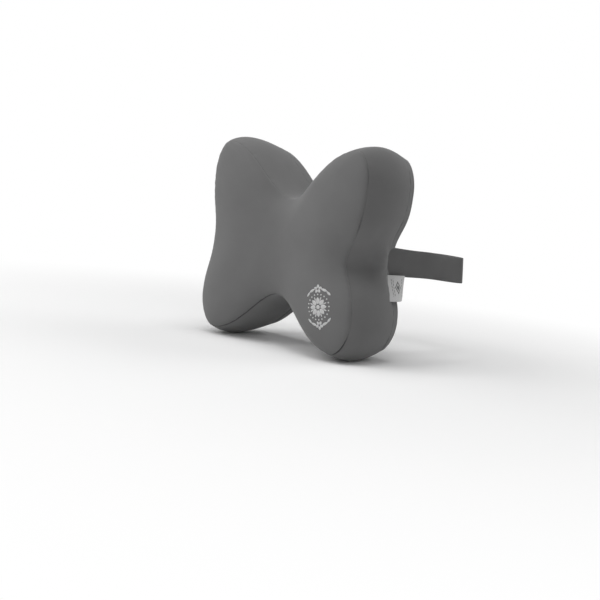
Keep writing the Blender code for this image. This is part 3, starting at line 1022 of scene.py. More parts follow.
def finish_piece(piece: bpy.types.Object, body: Body,
                 finish: bpy.types.Material) -> bpy.types.Object:
    """Give a piece its material and the body that it rides on.

    Args:
        piece: Object to finish.
        body: Body that it moves with.
        finish: Its material.

    Returns:
        The same object.
    """
    piece.data.materials.clear()
    piece.data.materials.append(finish)
    LOG.info("%s rides on %s, %d faces", piece.name, body.value, len(piece.data.polygons))
    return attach(piece, body.value)


@dataclass
class ClothSwell:
    """Cloth simulation of the whole cover, kept as a field of small moves.

    Args:
        pressure: Pressure inside the cloth.
        cap: Largest move that is kept, in metres.
        voxel: Grid of the coarse copy, in metres.
        frames: Simulated frames.
        quality: Steps of the simulation in each frame.
        mass: Mass of each point, in kilograms.
        stretch: Stiffness against stretch and compression.
        bend: Stiffness against bending.
        row_step: Fine rows to each row of the source of the coarse copy.
        back_step: Fine rows of the back to each of its rows.
        column_step: Fine columns to each of its columns.
        neighbours: Coarse points whose moves are blended at a fine point.
        tree: Lookup of the coarse points, empty before a run.
        moves: How far each coarse point moved.
    """

    pressure: float = 2.5
    cap: float = 0.0022
    voxel: float = 0.005
    frames: int = 18
    quality: int = 5
    mass: float = 0.2
    stretch: float = 30.0
    bend: float = 4.0
    row_step: int = 3
    back_step: int = 2
    column_step: int = 4
    neighbours: int = 6
    tree: KDTree | None = None
    moves: np.ndarray = field(default_factory=lambda: np.zeros((0, 3)))

    def coarse_skin(self, bands: Sequence[np.ndarray]) -> bpy.types.Object:
        """Return one closed voxel mesh around all panels.

        Args:
            bands: Rows of the panels, front first.

        Returns:
            The coarse object.
        """
        front, side, back = bands
        rows = np.concatenate([front[::self.row_step], side[::self.row_step], back[1::self.back_step]])
        rows = rows[:, ::self.column_step]
        count = rows.shape[1]
        index = np.arange(rows.shape[0] * count).reshape(-1, count)
        after = np.roll(index, -1, axis=1)
        faces = np.stack([index[:-1], after[:-1], after[1:], index[1:]], axis=2).reshape(-1, 4).tolist()
        faces += [index[0].tolist(), index[-1][::-1].tolist()]
        mesh = bpy.data.meshes.new("swell_source")
        mesh.from_pydata(rows.reshape(-1, 3).tolist(), [], faces)
        source = new_object("swell_source", mesh)
        remesh = source.modifiers.new("voxels", "REMESH")
        remesh.mode = "VOXEL"
        remesh.voxel_size = self.voxel
        graph = bpy.context.evaluated_depsgraph_get()
        copied = bpy.data.meshes.new_from_object(source.evaluated_get(graph))
        bpy.data.objects.remove(source, do_unlink=True)
        return new_object("swell_skin", copied)

    def run(self, bands: Sequence[np.ndarray], seams: Sequence[np.ndarray]) -> None:
        """Simulate the cover and keep how each coarse point moved.

        Args:
            bands: Rows of the panels, front first.
            seams: Points of the sewn lines, which stay where they are.
        """
        skin = self.coarse_skin(bands)
        before = read_points(skin.data)
        self.pin(skin, before, seams)
        cloth = skin.modifiers.new("cover_cloth", "CLOTH")
        cloth.settings.quality = self.quality
        cloth.settings.mass = self.mass
        cloth.settings.tension_stiffness = self.stretch
        cloth.settings.compression_stiffness = self.stretch
        cloth.settings.bending_stiffness = self.bend
        cloth.settings.use_pressure = True
        cloth.settings.uniform_pressure_force = self.pressure
        cloth.settings.effector_weights.gravity = 0.0
        cloth.settings.vertex_group_mass = "sewn"
        cloth.point_cache.frame_start = 1
        cloth.point_cache.frame_end = self.frames
        for step in range(1, self.frames + 1):
            bpy.context.scene.frame_set(step)
        graph = bpy.context.evaluated_depsgraph_get()
        held = skin.evaluated_get(graph).to_mesh()
        moves = read_points(held) - before
        bpy.data.objects.remove(skin, do_unlink=True)
        bpy.context.scene.frame_set(1)
        size = np.linalg.norm(moves, axis=1, keepdims=True)
        LOG.info("cloth moved up to %.2f mm, %.2f mm on average", size.max() * 1000, size.mean() * 1000)
        self.moves = moves * (self.cap / (self.cap + size))
        self.tree = lookup(before)

    def pin(self, skin: bpy.types.Object, points: np.ndarray, seams: Sequence[np.ndarray]) -> None:
        """Hold the coarse points that lie on the sewn lines.

        Args:
            skin: Coarse object.
            points: Its points.
            seams: Points of the sewn lines.
        """
        tree = lookup(np.concatenate(seams))
        group = skin.vertex_groups.new(name="sewn")
        near = [i for i, point in enumerate(points) if tree.find(point)[2] < self.voxel]
        group.add(near, 1.0, "REPLACE")

    def at(self, rows: np.ndarray) -> np.ndarray:
        """Return the blended moves at fine points.

        Args:
            rows: Fine points as rows, columns, xyz.

        Returns:
            Moves in the same layout, all zero before a run.
        """
        if self.tree is None:
            return np.zeros_like(rows)
        found = np.zeros((rows.shape[0] * rows.shape[1], 3))
        for index, point in enumerate(rows.reshape(-1, 3)):
            nearest = self.tree.find_n(point, self.neighbours)
            weights = np.array([1.0 / (distance + self.voxel / 3) ** 2 for _, _, distance in nearest])
            found[index] = weights @ self.moves[[item for _, item, _ in nearest]] / weights.sum()
        return found.reshape(rows.shape)


def lookup(points: np.ndarray) -> KDTree:
    """Return a tree that finds the nearest of some points.

    Args:
        points: Points as xyz.

    Returns:
        The tree.
    """
    tree = KDTree(len(points))
    for index, point in enumerate(points):
        tree.insert(point, index)
    tree.balance()
    return tree


def read_points(mesh: bpy.types.Mesh) -> np.ndarray:
    """Return a mesh's points as an array.

    Args:
        mesh: Mesh to read.

    Returns:
        Points as xyz.
    """
    points = np.zeros(len(mesh.vertices) * 3)
    mesh.vertices.foreach_get("co", points)
    return points.reshape(-1, 3)


@dataclass(frozen=True)
class SeamStyle:
    """How the panels roll into their seams.

    Args:
        roll: Distance from the seam at which a panel starts to roll in.
        drop: Depth of an open seam.
        shade_reach: Distance over which an open seam's painted shade reaches.
        shade_power: How sharply that painted shade ends.
        allowance: How far the cloth goes on inside.
        pucker: Height of the gathers.
        pucker_reach: Distance over which they fade.
        tight_share: Openness of the tight stretches.
        back_share: Openness of the back seam against the front seam.
        low_slope: Slopes of the outline at which it starts to face down and at which it wholly does.
        low_span: Depths below the middle at which the seam starts to open and at which it is open.
        loose_spots: Height and openness of short open stretches on the right.
        spot_side: Distance from the middle beyond which those stretches lie.
        spot_reach: Half their length.
        offsets: Distances from the seam of the rows that follow it.
        wave_count: Waves that make up the gathers.
        wave_turns: Least and most gathers around the outline.
        patch_turns: Least and most patches of stronger gathers around it.
        wave_shift: Largest shift of a wave, in radians.
    """

    roll: float = 0.0020
    drop: float = 0.0024
    shade_reach: float = 0.0009
    shade_power: int = 4
    allowance: float = 0.0040
    pucker: float = 0.00022
    pucker_reach: float = 0.0055
    tight_share: float = 0.07
    back_share: float = 0.45
    low_slope: tuple[float, float] = (0.15, 0.65)
    low_span: tuple[float, float] = (0.030, 0.055)
    loose_spots: tuple[tuple[float, float], ...] = ((0.0300, 0.30), (0.0830, 0.16))
    spot_side: float = 0.08
    spot_reach: float = 0.0085
    offsets: tuple[float, ...] = (
        0.0060, 0.0046, 0.0034, 0.0025, 0.0019, 0.0014, 0.0010, 0.0007, 0.0004, 0.0002, 0.0)
    wave_count: int = 9
    wave_turns: tuple[int, int] = (50, 120)
    patch_turns: tuple[int, int] = (3, 7)
    wave_shift: float = 6.28

    def looseness(self, rim: np.ndarray, back: bool) -> np.ndarray:
        """Return how open the seam is: most where it faces down, and little over the tight top and sides.

        Args:
            rim: Points of the seam as xyz, clockwise from the upper notch.
            back: Whether it is the back seam.

        Returns:
            Shares from 0 to 1, one a point.
        """
        ahead = unit(np.roll(rim, -1, axis=0) - np.roll(rim, 1, axis=0))
        low = between(-ahead[:, 0], *self.low_slope) * between(-rim[:, 2], *self.low_span)
        share = self.tight_share + (1 - self.tight_share) * low
        for height, opened in self.loose_spots:
            spot = np.exp(-((rim[:, 2] - height) / self.spot_reach) ** 2)
            share = share + opened * spot * (rim[:, 0] > self.spot_side)
        return (self.back_share if back else 1.0) * np.minimum(share, 1.0)

    def depth(self, distance: float) -> float:
        """Return how deep the cloth lies at a distance from the seam.

        Args:
            distance: Distance along the cloth.

        Returns:
            Depth below the surface.
        """
        if distance >= self.roll:
            return 0.0
        return self.drop * (1 - math.sqrt(1 - (1 - distance / self.roll) ** 2))

    def ripple(self, columns: int, seed: int) -> np.ndarray:
        """Return a seeded wavy row of small gathers along a seam.

        Args:
            columns: Points of the outline.
            seed: Seed of the waves.

        Returns:
            Values from about -1 to 1.
        """
        chance = np.random.default_rng(seed)
        turn = np.linspace(0.0, 2 * math.pi, columns, endpoint=False)
        waves = [np.sin(int(chance.integers(*self.wave_turns)) * turn + chance.uniform(0, self.wave_shift))
                 for _ in range(self.wave_count)]
        patches = int(chance.integers(*self.patch_turns)) * turn + chance.uniform(0, self.wave_shift)
        return np.sum(waves, axis=0) / math.sqrt(self.wave_count) * (1 + np.sin(patches)) / 2


@dataclass(frozen=True)
class StrapFolds:
    """Faint tension folds that fan out from where the strap pulls at the waist."""

    height: float = 0.00055
    count: int = 11
    bend: float = 0.8
    bend_count: int = 3
    start: float = 0.012
    fade: float = 0.020
    lead: float = 0.004
    side: tuple[float, float] = (0.07, 0.09)

    def rises(self, away: np.ndarray, across: np.ndarray) -> np.ndarray:
        """Return how far the folds lift the cloth.

        Args:
            away: Points measured from the strap's root, as xyz.
            across: Distance of each point from the middle plane.

        Returns:
            Heights, one a point.
        """
        ahead, up = -away[..., 1], away[..., 2]
        reach = np.hypot(ahead, up)
        angle = np.arctan2(up, ahead + self.lead)
        fan = np.sin(self.count * angle + self.bend * np.sin(self.bend_count * angle))
        strength = np.exp(-reach / self.fade) * smooth(reach / self.start) * between(across, *self.side)
        return self.height * fan * strength


@dataclass
class Cover:
    """The knit cover: front panel, side panel and back panel.

    The dense rows are those of the three panels before they are spaced anew. Of the two seams only that
    of the back lies nearer to the back than its limit. The flat back takes a share of the swell, which
    grows to the whole of it at the swell's depth. The hem's share is its radius against half the opening's
    height, and its depth is counted in that radius.
    """

    form: CushionForm
    swell: ClothSwell
    seam: SeamStyle
    finish: bpy.types.Material
    slot_centre: tuple[float, float]
    slot_half: tuple[float, float]
    folds: StrapFolds = StrapFolds()
    dense_rows: tuple[int, int, int] = (150, 120, 80)
    inner_rows: int = 34
    rim_rows: int = 15
    back_seam_limit: float = 0.03
    back_swell: float = 0.15
    swell_depth: float = 0.03
    slot_columns: int = 240
    hem_share: float = 0.22
    hem_rows: int = 7
    hem_depth: float = 2.2
    panels: dict[str, bpy.types.Object] = field(default_factory=dict)
    # Painted shade of each panel's open seams.
    painted_seam_shades: dict[str, np.ndarray] = field(default_factory=dict)

    def build(self) -> None:
        """Draw the three panels, swell them and roll their edges into the seams."""
        interior = np.linspace(0.0, 1.0, self.inner_rows)[1:-1]
        rim = np.linspace(0.0, 1.0, self.rim_rows)[1:]
        edge = np.array(self.seam.offsets)
        margin = edge[0]
        front = resample(pressed(self.form.front(self.dense_rows[0])), lambda size: np.concatenate(
            [interior * (size - margin), size - edge]))
        gusset = resample(pressed(self.form.gusset(self.dense_rows[1])), lambda size: np.concatenate(
            [edge[::-1], margin + interior * (size - 2 * margin), size - edge]))
        back = resample(pressed(self.form.back(self.dense_rows[2])), lambda size: np.concatenate(
            [edge[::-1], margin + rim * (size - margin)]))
        normals = [outward(front), outward(gusset), outward(back)]
        seams = [unit(normals[0][-1] + normals[1][0]), unit(normals[1][-1] + normals[2][0])]
        self.swell.run([front, gusset, back], [front[-1], back[0]])
        count = len(edge)
        front, self.painted_seam_shades["cover_front"] = self.settled(front, normals[0], {-1: seams[0]}, count)
        both_seams = {0: seams[0], -1: seams[1]}
        gusset, self.painted_seam_shades["cover_gusset"] = self.settled(gusset, normals[1], both_seams, count)
        gusset = self.creased(gusset, normals[1])
        back, self.painted_seam_shades["cover_back"] = self.settled(back, normals[2], {0: seams[1]}, count)
        self.front_panel(front)
        self.side_panel(gusset)
        self.back_panel(back)

    def settled(self, rows: np.ndarray, normals: np.ndarray, seams: dict[int, np.ndarray],
                count: int) -> tuple[np.ndarray, np.ndarray]:
        """Add the swell, the gathers and the rolled edges to a panel.

        Args:
            rows: Panel as rows, columns, xyz.
            normals: Its outward normals.
            seams: Outward directions at the seam of its first row, 0, or last row, -1.
            count: Rows that follow each seam closely.

        Returns:
            The panel with a seam allowance at each seam, and the painted shade that an open seam puts on each
            of its points.
        """
        moved = rows + self.swell.at(rows) * self.swell_share(rows)
        shade = np.zeros(rows.shape[:2])
        for end, direction in seams.items():
            ripple = self.seam.ripple(rows.shape[1], SEED + 3 * end)
            at_back = end == 0 and rows[end, :, 1].min() > -self.back_seam_limit
            open_share = self.seam.looseness(rows[end], at_back)
            order = range(count) if end == 0 else range(len(rows) - count, len(rows))
            offsets = self.seam.offsets[::-1] if end == 0 else self.seam.offsets
            for index, distance in zip(order, offsets):
                rise = math.exp(-distance / self.seam.pucker_reach) * self.seam.pucker
                moved[index] += normals[index] * (ripple * rise)[:, None]
                moved[index] -= direction * (self.seam.depth(distance) * open_share)[:, None]
                # Painted shade: the colour is darkened in the groove of an open seam.
                dark = math.exp(-((distance / self.seam.shade_reach) ** self.seam.shade_power))
                shade[index] = open_share * dark
            hidden = moved[end] - direction * self.seam.allowance
            parts = [hidden[None], moved] if end == 0 else [moved, hidden[None]]
            moved = np.concatenate(parts)
            shade = np.concatenate([shade[:1], shade] if end == 0 else [shade, shade[-1:]])
            if end == 0:
                rows = np.concatenate([rows[:1], rows])
                normals = np.concatenate([normals[:1], normals])
        return moved, shade

    def swell_share(self, rows: np.ndarray) -> np.ndarray:
        """Return how much of the swell a point takes, less on the back, which lies against its rest."""
        return self.back_swell + (1 - self.back_swell) * smooth(-rows[:, :, 1:2] / self.swell_depth)

    def creased(self, rows: np.ndarray, normals: np.ndarray) -> np.ndarray:
        """Add the faint folds beside the strap.

        Args:
            rows: Side panel with a seam allowance at both ends.
            normals: Its normals without the allowances.

        Returns:
            The creased panel.
        """
        root = np.array([0.0, -self.form.back_seam_depth, self.form.strap_z])
        creased = rows.copy()
        creased[1:-1] += normals * self.folds.rises(rows[1:-1] - root, np.abs(rows[1:-1, :, 0]))[:, :, None]
        return creased

    def front_panel(self, rows: np.ndarray) -> None:
        """Make the front panel.

        Args:
            rows: Its finished rows.
        """
        flat = np.concatenate([rows, rows[:, :1]], axis=1)
        centre = np.array([0.0, rows[0, :, 1].min(), 0.0])
        panel = mesh_from_rows("front_panel", rows, flat[:, :, [0, 2]], pole=centre)
        self.sew(panel, "cover_front")

    def side_panel(self, rows: np.ndarray) -> None:
        """Make the side panel.

        Args:
            rows: Its finished rows.
        """
        ring = np.concatenate([rows, rows[:, :1]], axis=1)
        middle = ring[len(ring) // 2]
        surface = np.stack([np.broadcast_to(run_lengths(middle), ring.shape[:2]), ring[:, :, 1]], axis=2)
        panel = mesh_from_rows("side_panel", rows, surface)
        self.sew(panel, "cover_gusset")

    def opening_lips(self) -> np.ndarray:
        """Return rows that roll from the flat of the back into the zip's opening."""
        outline = stadium(self.slot_half[0], self.slot_half[1], self.slot_columns)
        ahead = unit(np.roll(outline, -1, axis=0) - np.roll(outline, 1, axis=0))
        opening = layer(outline + np.array(self.slot_centre), np.zeros(len(outline)))
        outside = layer(np.column_stack([-ahead[:, 1], ahead[:, 0]]), np.zeros(len(outline)))
        hem = self.slot_half[1] * self.hem_share
        inward = np.array([0.0, -hem, 0.0])
        lips = [opening + outside * hem * (1 - math.sin(turn)) + inward * (1 - math.cos(turn))
                for turn in np.linspace(0, math.pi / 2, self.hem_rows)]
        lips.append(opening + inward * self.hem_depth)
        return np.array(lips)

    def back_panel(self, rows: np.ndarray) -> None:
        """Make the back panel with the hemmed opening for the zip.

        Args:
            rows: Finished rows of its seam and rolled edge.
        """
        lips = self.opening_lips()
        panel, hem = (mesh_from_rows(name, band, np.concatenate([band, band[:, :1]], axis=1)[:, :, [0, 2]])
                      for name, band in (("back_panel", rows), ("back_hem", lips)))
        bm = bmesh.new()
        bm.from_mesh(panel.data)
        bm.from_mesh(hem.data)
        bm.verts.ensure_lookup_table()
        columns, first_lip = rows.shape[1], rows.shape[0] * rows.shape[1]
        loops = [bm.verts[first_lip - columns:first_lip], bm.verts[first_lip:first_lip + lips.shape[1]]]
        edges = [bm.edges.get((loop[i - 1], loop[i])) for loop in loops for i in range(len(loop))]
        filled = bmesh.ops.triangle_fill(bm, edges=edges, use_beauty=True, normal=(0.0, 1.0, 0.0))["geom"]
        cloth = bm.loops.layers.uv["cloth"]
        for face in (item for item in filled if isinstance(item, bmesh.types.BMFace)):
            face.smooth = True
            for corner in face.loops:
                corner[cloth].uv = corner.vert.co.xz
        bmesh.ops.recalc_face_normals(bm, faces=bm.faces)
        bm.to_mesh(panel.data)
        bm.free()
        bpy.data.objects.remove(hem, do_unlink=True)
        self.sew(panel, "cover_back")

    def sew(self, panel: bpy.types.Object, node: str) -> None:
        """Turn a panel outward, finish it and let it stand for its solid.

        Args:
            panel: The panel.
            node: Node that it replaces.
        """
        turn_out(panel, Vector(CUSHION_MIDDLE))
        # Painted shade of the open seams, stored as a point attribute for the knit's colour.
        shade = np.zeros(len(panel.data.vertices), dtype=np.float32)
        painted_seam_shade = self.painted_seam_shades[node].ravel()
        shade[:len(painted_seam_shade)] = painted_seam_shade
        panel.data.attributes.new(PAINTED_SEAM_SHADE, "FLOAT", "POINT").data.foreach_set("value", shade)
        finish_piece(panel, Body.CUSHION, self.finish)
        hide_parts(node)
        self.panels[node] = panel


def stadium(half_length: float, radius: float, count: int) -> np.ndarray:
    """Return a long outline with round ends, clockwise from the middle of its upper side.

    Args:
        half_length: Half of its whole length.
        radius: Radius of its ends.
        count: Number of points.

    Returns:
        Points as x, z.
    """
    straight = half_length - radius
    turns = np.linspace(0.0, math.pi, END_CAP_POINTS)
    right = np.column_stack([straight + radius * np.sin(turns), radius * np.cos(turns)])
    corners = np.vstack([[[0.0, radius]], right, -right, [[0.0, radius]]])
    along = run_lengths(corners)
    wanted = np.arange(count) / count * along[-1]
    return np.column_stack([np.interp(wanted, along, corners[:, axis]) for axis in range(2)])


def unit(vectors: np.ndarray) -> np.ndarray:
    """Return vectors of length 1.

    Args:
        vectors: Vectors as rows.

    Returns:
        The same directions.
    """
    return vectors / np.maximum(np.linalg.norm(vectors, axis=-1, keepdims=True), TINY)


@dataclass
class Strap:
    """Elastic strap that leaves both side seams and runs round behind the cushion.

    Its steps are points along a side, round a turn and along half of the back. The crown is how much
    thicker it is in the middle of its width, the gather how much narrower it is at its roots, and the look
    up how far its face tilts near the turns, at a place and over a reach that are shares of its length.
    """

    finish: bpy.types.Material
    root_y: float
    root_z: float
    width: float = 0.030
    thickness: float = 0.0019
    drop_deg: float = 2.6
    rise: float = 0.0018
    sewn: float = 0.003
    bend_radius: float = 0.0150
    steps: tuple[int, int, int] = (60, 18, 40)
    face_points: int = 9
    edge_points: int = 6
    crown: float = 0.10
    sag: float = 0.0006
    gather: float = 0.05
    gather_reach: float = 0.02
    look_up_deg: float = 9.0
    look_up_place: float = 0.25
    look_up_reach: float = 0.09
    waves: int = 9
    sway: float = 0.0005
    sway_deg: float = 0.8

    def route(self) -> np.ndarray:
        """Return the strap's middle line before it slopes, from right to left."""
        _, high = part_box("strap")
        half = high.x - self.thickness / 2
        reach = high.y - self.root_y - self.thickness / 2
        bend = self.bend_radius
        side_steps, turn_steps, back_steps = self.steps
        right = [(half, y) for y in np.linspace(-self.sewn, reach - bend, side_steps)]
        corner = [(half - bend + bend * math.cos(a), reach - bend + bend * math.sin(a))
                  for a in np.linspace(0, math.pi / 2, turn_steps)[1:-1]]
        back = [(x, reach) for x in np.linspace(half - bend, 0.0, back_steps)]
        half_route = np.array(right + corner + back)
        return np.vstack([half_route, half_route[::-1][1:] * [-1, 1]])

    def section(self) -> np.ndarray:
        """Return the strap's rounded cross section as offsets across its width and thickness."""
        wide, thick = self.width / 2, self.thickness / 2
        face = np.linspace(-wide + thick, wide - thick, self.face_points)
        crown = 1 + self.crown * np.cos(face / wide * math.pi / 2)
        turns = np.linspace(0, math.pi, self.edge_points)[1:-1]
        upper_edge = [(wide - thick + thick * math.sin(a), thick * math.cos(a)) for a in turns]
        outer = [(w, thick * c) for w, c in zip(face, crown)]
        inner = [(w, -thick * c) for w, c in zip(face[::-1], crown[::-1])]
        lower_edge = [(-w, -t) for w, t in upper_edge]
        return np.array(outer + upper_edge + inner + lower_edge)

    def swept(self, route: np.ndarray, section: np.ndarray, along: np.ndarray) -> np.ndarray:
        """Return the section at every point of the route, with its gathers, tilt and sways.

        Args:
            route: Middle line as x, y.
            section: Cross section.
            along: Distance along the route at each of its points.

        Returns:
            Points as rows, columns, xyz.
        """
        tangent = unit(np.gradient(route, axis=0))
        normal = np.stack([tangent[:, 1], -tangent[:, 0]], axis=1)
        share = along / along[-1]
        sway = np.sin(self.waves * math.pi * share)
        dip = self.sag * np.sin(math.pi * share) ** 2 + self.sway * sway
        tilt = np.exp(-(((share - self.look_up_place) / self.look_up_reach) ** 2))
        twist = np.radians(self.look_up_deg) * tilt + np.radians(self.sway_deg) * sway
        ends = np.exp(-along / self.gather_reach) + np.exp((along - along[-1]) / self.gather_reach)
        rows = []
        for spot, side, narrow, angle, low in zip(route, normal, 1 - self.gather * ends, twist, dip):
            wide, thick = section[:, 0] * narrow, section[:, 1]
            up = wide * math.cos(angle) + thick * math.sin(angle)
            out = thick * math.cos(angle) - wide * math.sin(angle)
            rows.append(np.column_stack([spot[0] + out * side[0], spot[1] + out * side[1], up - low]))
        return np.array(rows)

    def build(self) -> None:
        """Sweep the section along the route and slope it down towards the back."""
        route, section = self.route(), self.section()
        along = run_lengths(route)
        rows = self.swept(route, section, along)
        slope = math.radians(self.drop_deg)
        ahead, up = rows[:, :, 1], rows[:, :, 2]
        turned = np.stack([rows[:, :, 0],
                           ahead * math.cos(slope) + up * math.sin(slope) + self.root_y,
                           up * math.cos(slope) - ahead * math.sin(slope) + self.root_z + self.rise], axis=2)
        around = run_lengths(np.vstack([section, section[:1]]))
        surface = np.stack(np.broadcast_arrays(around[None, :], along[:, None]), axis=2)
        strap = mesh_from_rows("strap_band", turned, surface)
        cap_ends(strap, len(turned), turned.shape[1])
        finish_piece(strap, Body.CUSHION, self.finish)
        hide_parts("strap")


def cap_ends(piece: bpy.types.Object, rows: int, columns: int) -> None:
    """Close both ends of a swept mesh and turn it outward.

    Args:
        piece: Object made by mesh_from_rows.
        rows: Number of its rows.
        columns: Number of its columns.
    """
    bm = bmesh.new()
    bm.from_mesh(piece.data)
    bm.verts.ensure_lookup_table()
    bm.faces.new(bm.verts[:columns])
    bm.faces.new(bm.verts[(rows - 1) * columns:rows * columns])
    bmesh.ops.recalc_face_normals(bm, faces=bm.faces)
    bm.to_mesh(piece.data)
    bm.free()


@dataclass
class Label:
    """Folded ribbon label in the right back seam, its lower corner turned inward.

    The hang is how far the lower end of its root lies outward and forward of the upper one. The turn and
    the curl have a value for its top and one for its bottom.
    """

    form: CushionForm
    finish: bpy.types.Material
    strap_width: float = 0.030
    width: float = 0.0268
    length: float = 0.0262
    ply: float = 0.00035
    gap: float = 0.00025
    strap_gap: float = 0.0003
    rise: float = 0.0024
    tuck: float = 0.0009
    sewn: float = 0.002
    hang: tuple[float, float] = (0.0030, 0.0060)
    turn_deg: tuple[float, float] = (-12.0, 10.0)
    curl: tuple[float, float] = (0.0012, 0.0030)
    rows: int = 25
    face_points: int = 22
    fold_points: int = 9

    def build(self) -> None:
        """Make the label as one folded ply with a soft fold at its outer end."""
        top = self.form.strap_z - self.strap_width / 2 - self.strap_gap + self.rise
        heights = np.linspace(top, top - self.width, self.rows)
        middle = self.profile((self.gap + self.ply) / 2)
        shares = np.linspace(0, 1, self.rows)
        rows = np.array([self.row(middle, z, share) for z, share in zip(heights, shares)])
        out = np.append(middle[:, 0], middle[0, 0])
        up = (heights - heights[-1])[:, None]
        surface = np.stack(np.broadcast_arrays(out[None, :], up), axis=2)
        label = mesh_from_rows("ribbon_label", rows, surface, closed=False)
        thicken = label.modifiers.new("ply", "SOLIDIFY")
        thicken.thickness = self.ply
        thicken.offset = 0.0
        label = applied(label)
        finish_piece(label, Body.CUSHION, self.finish)
        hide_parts("side_label")

    def row(self, middle: np.ndarray, z: float, share: float) -> np.ndarray:
        """Return the label's section at one height.

        Args:
            middle: The folded ply seen from above.
            z: Height of the section.
            share: 0 at the top of the label and 1 at its bottom.

        Returns:
            Points as xyz.
        """
        angle = math.radians(np.interp(share, (0, 1), self.turn_deg))
        root_x = self.form.seam_x(z) - self.tuck + self.hang[0] * share**2
        root_y = -self.form.back_seam_depth - self.hang[1] * share**2
        out = middle[:, 0]
        side = middle[:, 1] + np.interp(share, (0, 1), self.curl) * np.sin(out / self.length * math.pi)
        x = root_x + side * math.cos(angle) - out * math.sin(angle)
        y = root_y + side * math.sin(angle) + out * math.cos(angle)
        return np.column_stack([x, y, np.full(len(x), z)])

    def profile(self, radius: float) -> np.ndarray:
        """Return the folded ply seen from above, as distance out and sideways.

        Args:
            radius: Half the distance between the two layers.

        Returns:
            Points from the seam out to the fold and back.
        """
        start, stop = -self.sewn, self.length - radius
        turns = np.linspace(0, math.pi, self.fold_points)[1:-1]
        outer = [(out, radius) for out in np.linspace(start, stop, self.face_points)]
        fold = [(stop + radius * math.sin(turn), radius * math.cos(turn)) for turn in turns]
        inner = [(out, -radius) for out in np.linspace(stop, start, self.face_points)]
        return np.array(outer + fold + inner)


def applied(piece: bpy.types.Object) -> bpy.types.Object:
    """Replace a piece's mesh with the result of its modifiers.

    Args:
        piece: Object with modifiers.

    Returns:
        The same object without modifiers.
    """
    graph = bpy.context.evaluated_depsgraph_get()
    mesh = bpy.data.meshes.new_from_object(piece.evaluated_get(graph))
    piece.modifiers.clear()
    piece.data = mesh
    return piece


@dataclass(frozen=True)
class Petals:
    """Ring of stitched petals: their number, start, end and width, and where the first one points."""

    count: int
    start: float
    end: float
    width: float
    turn_deg: float = 90.0


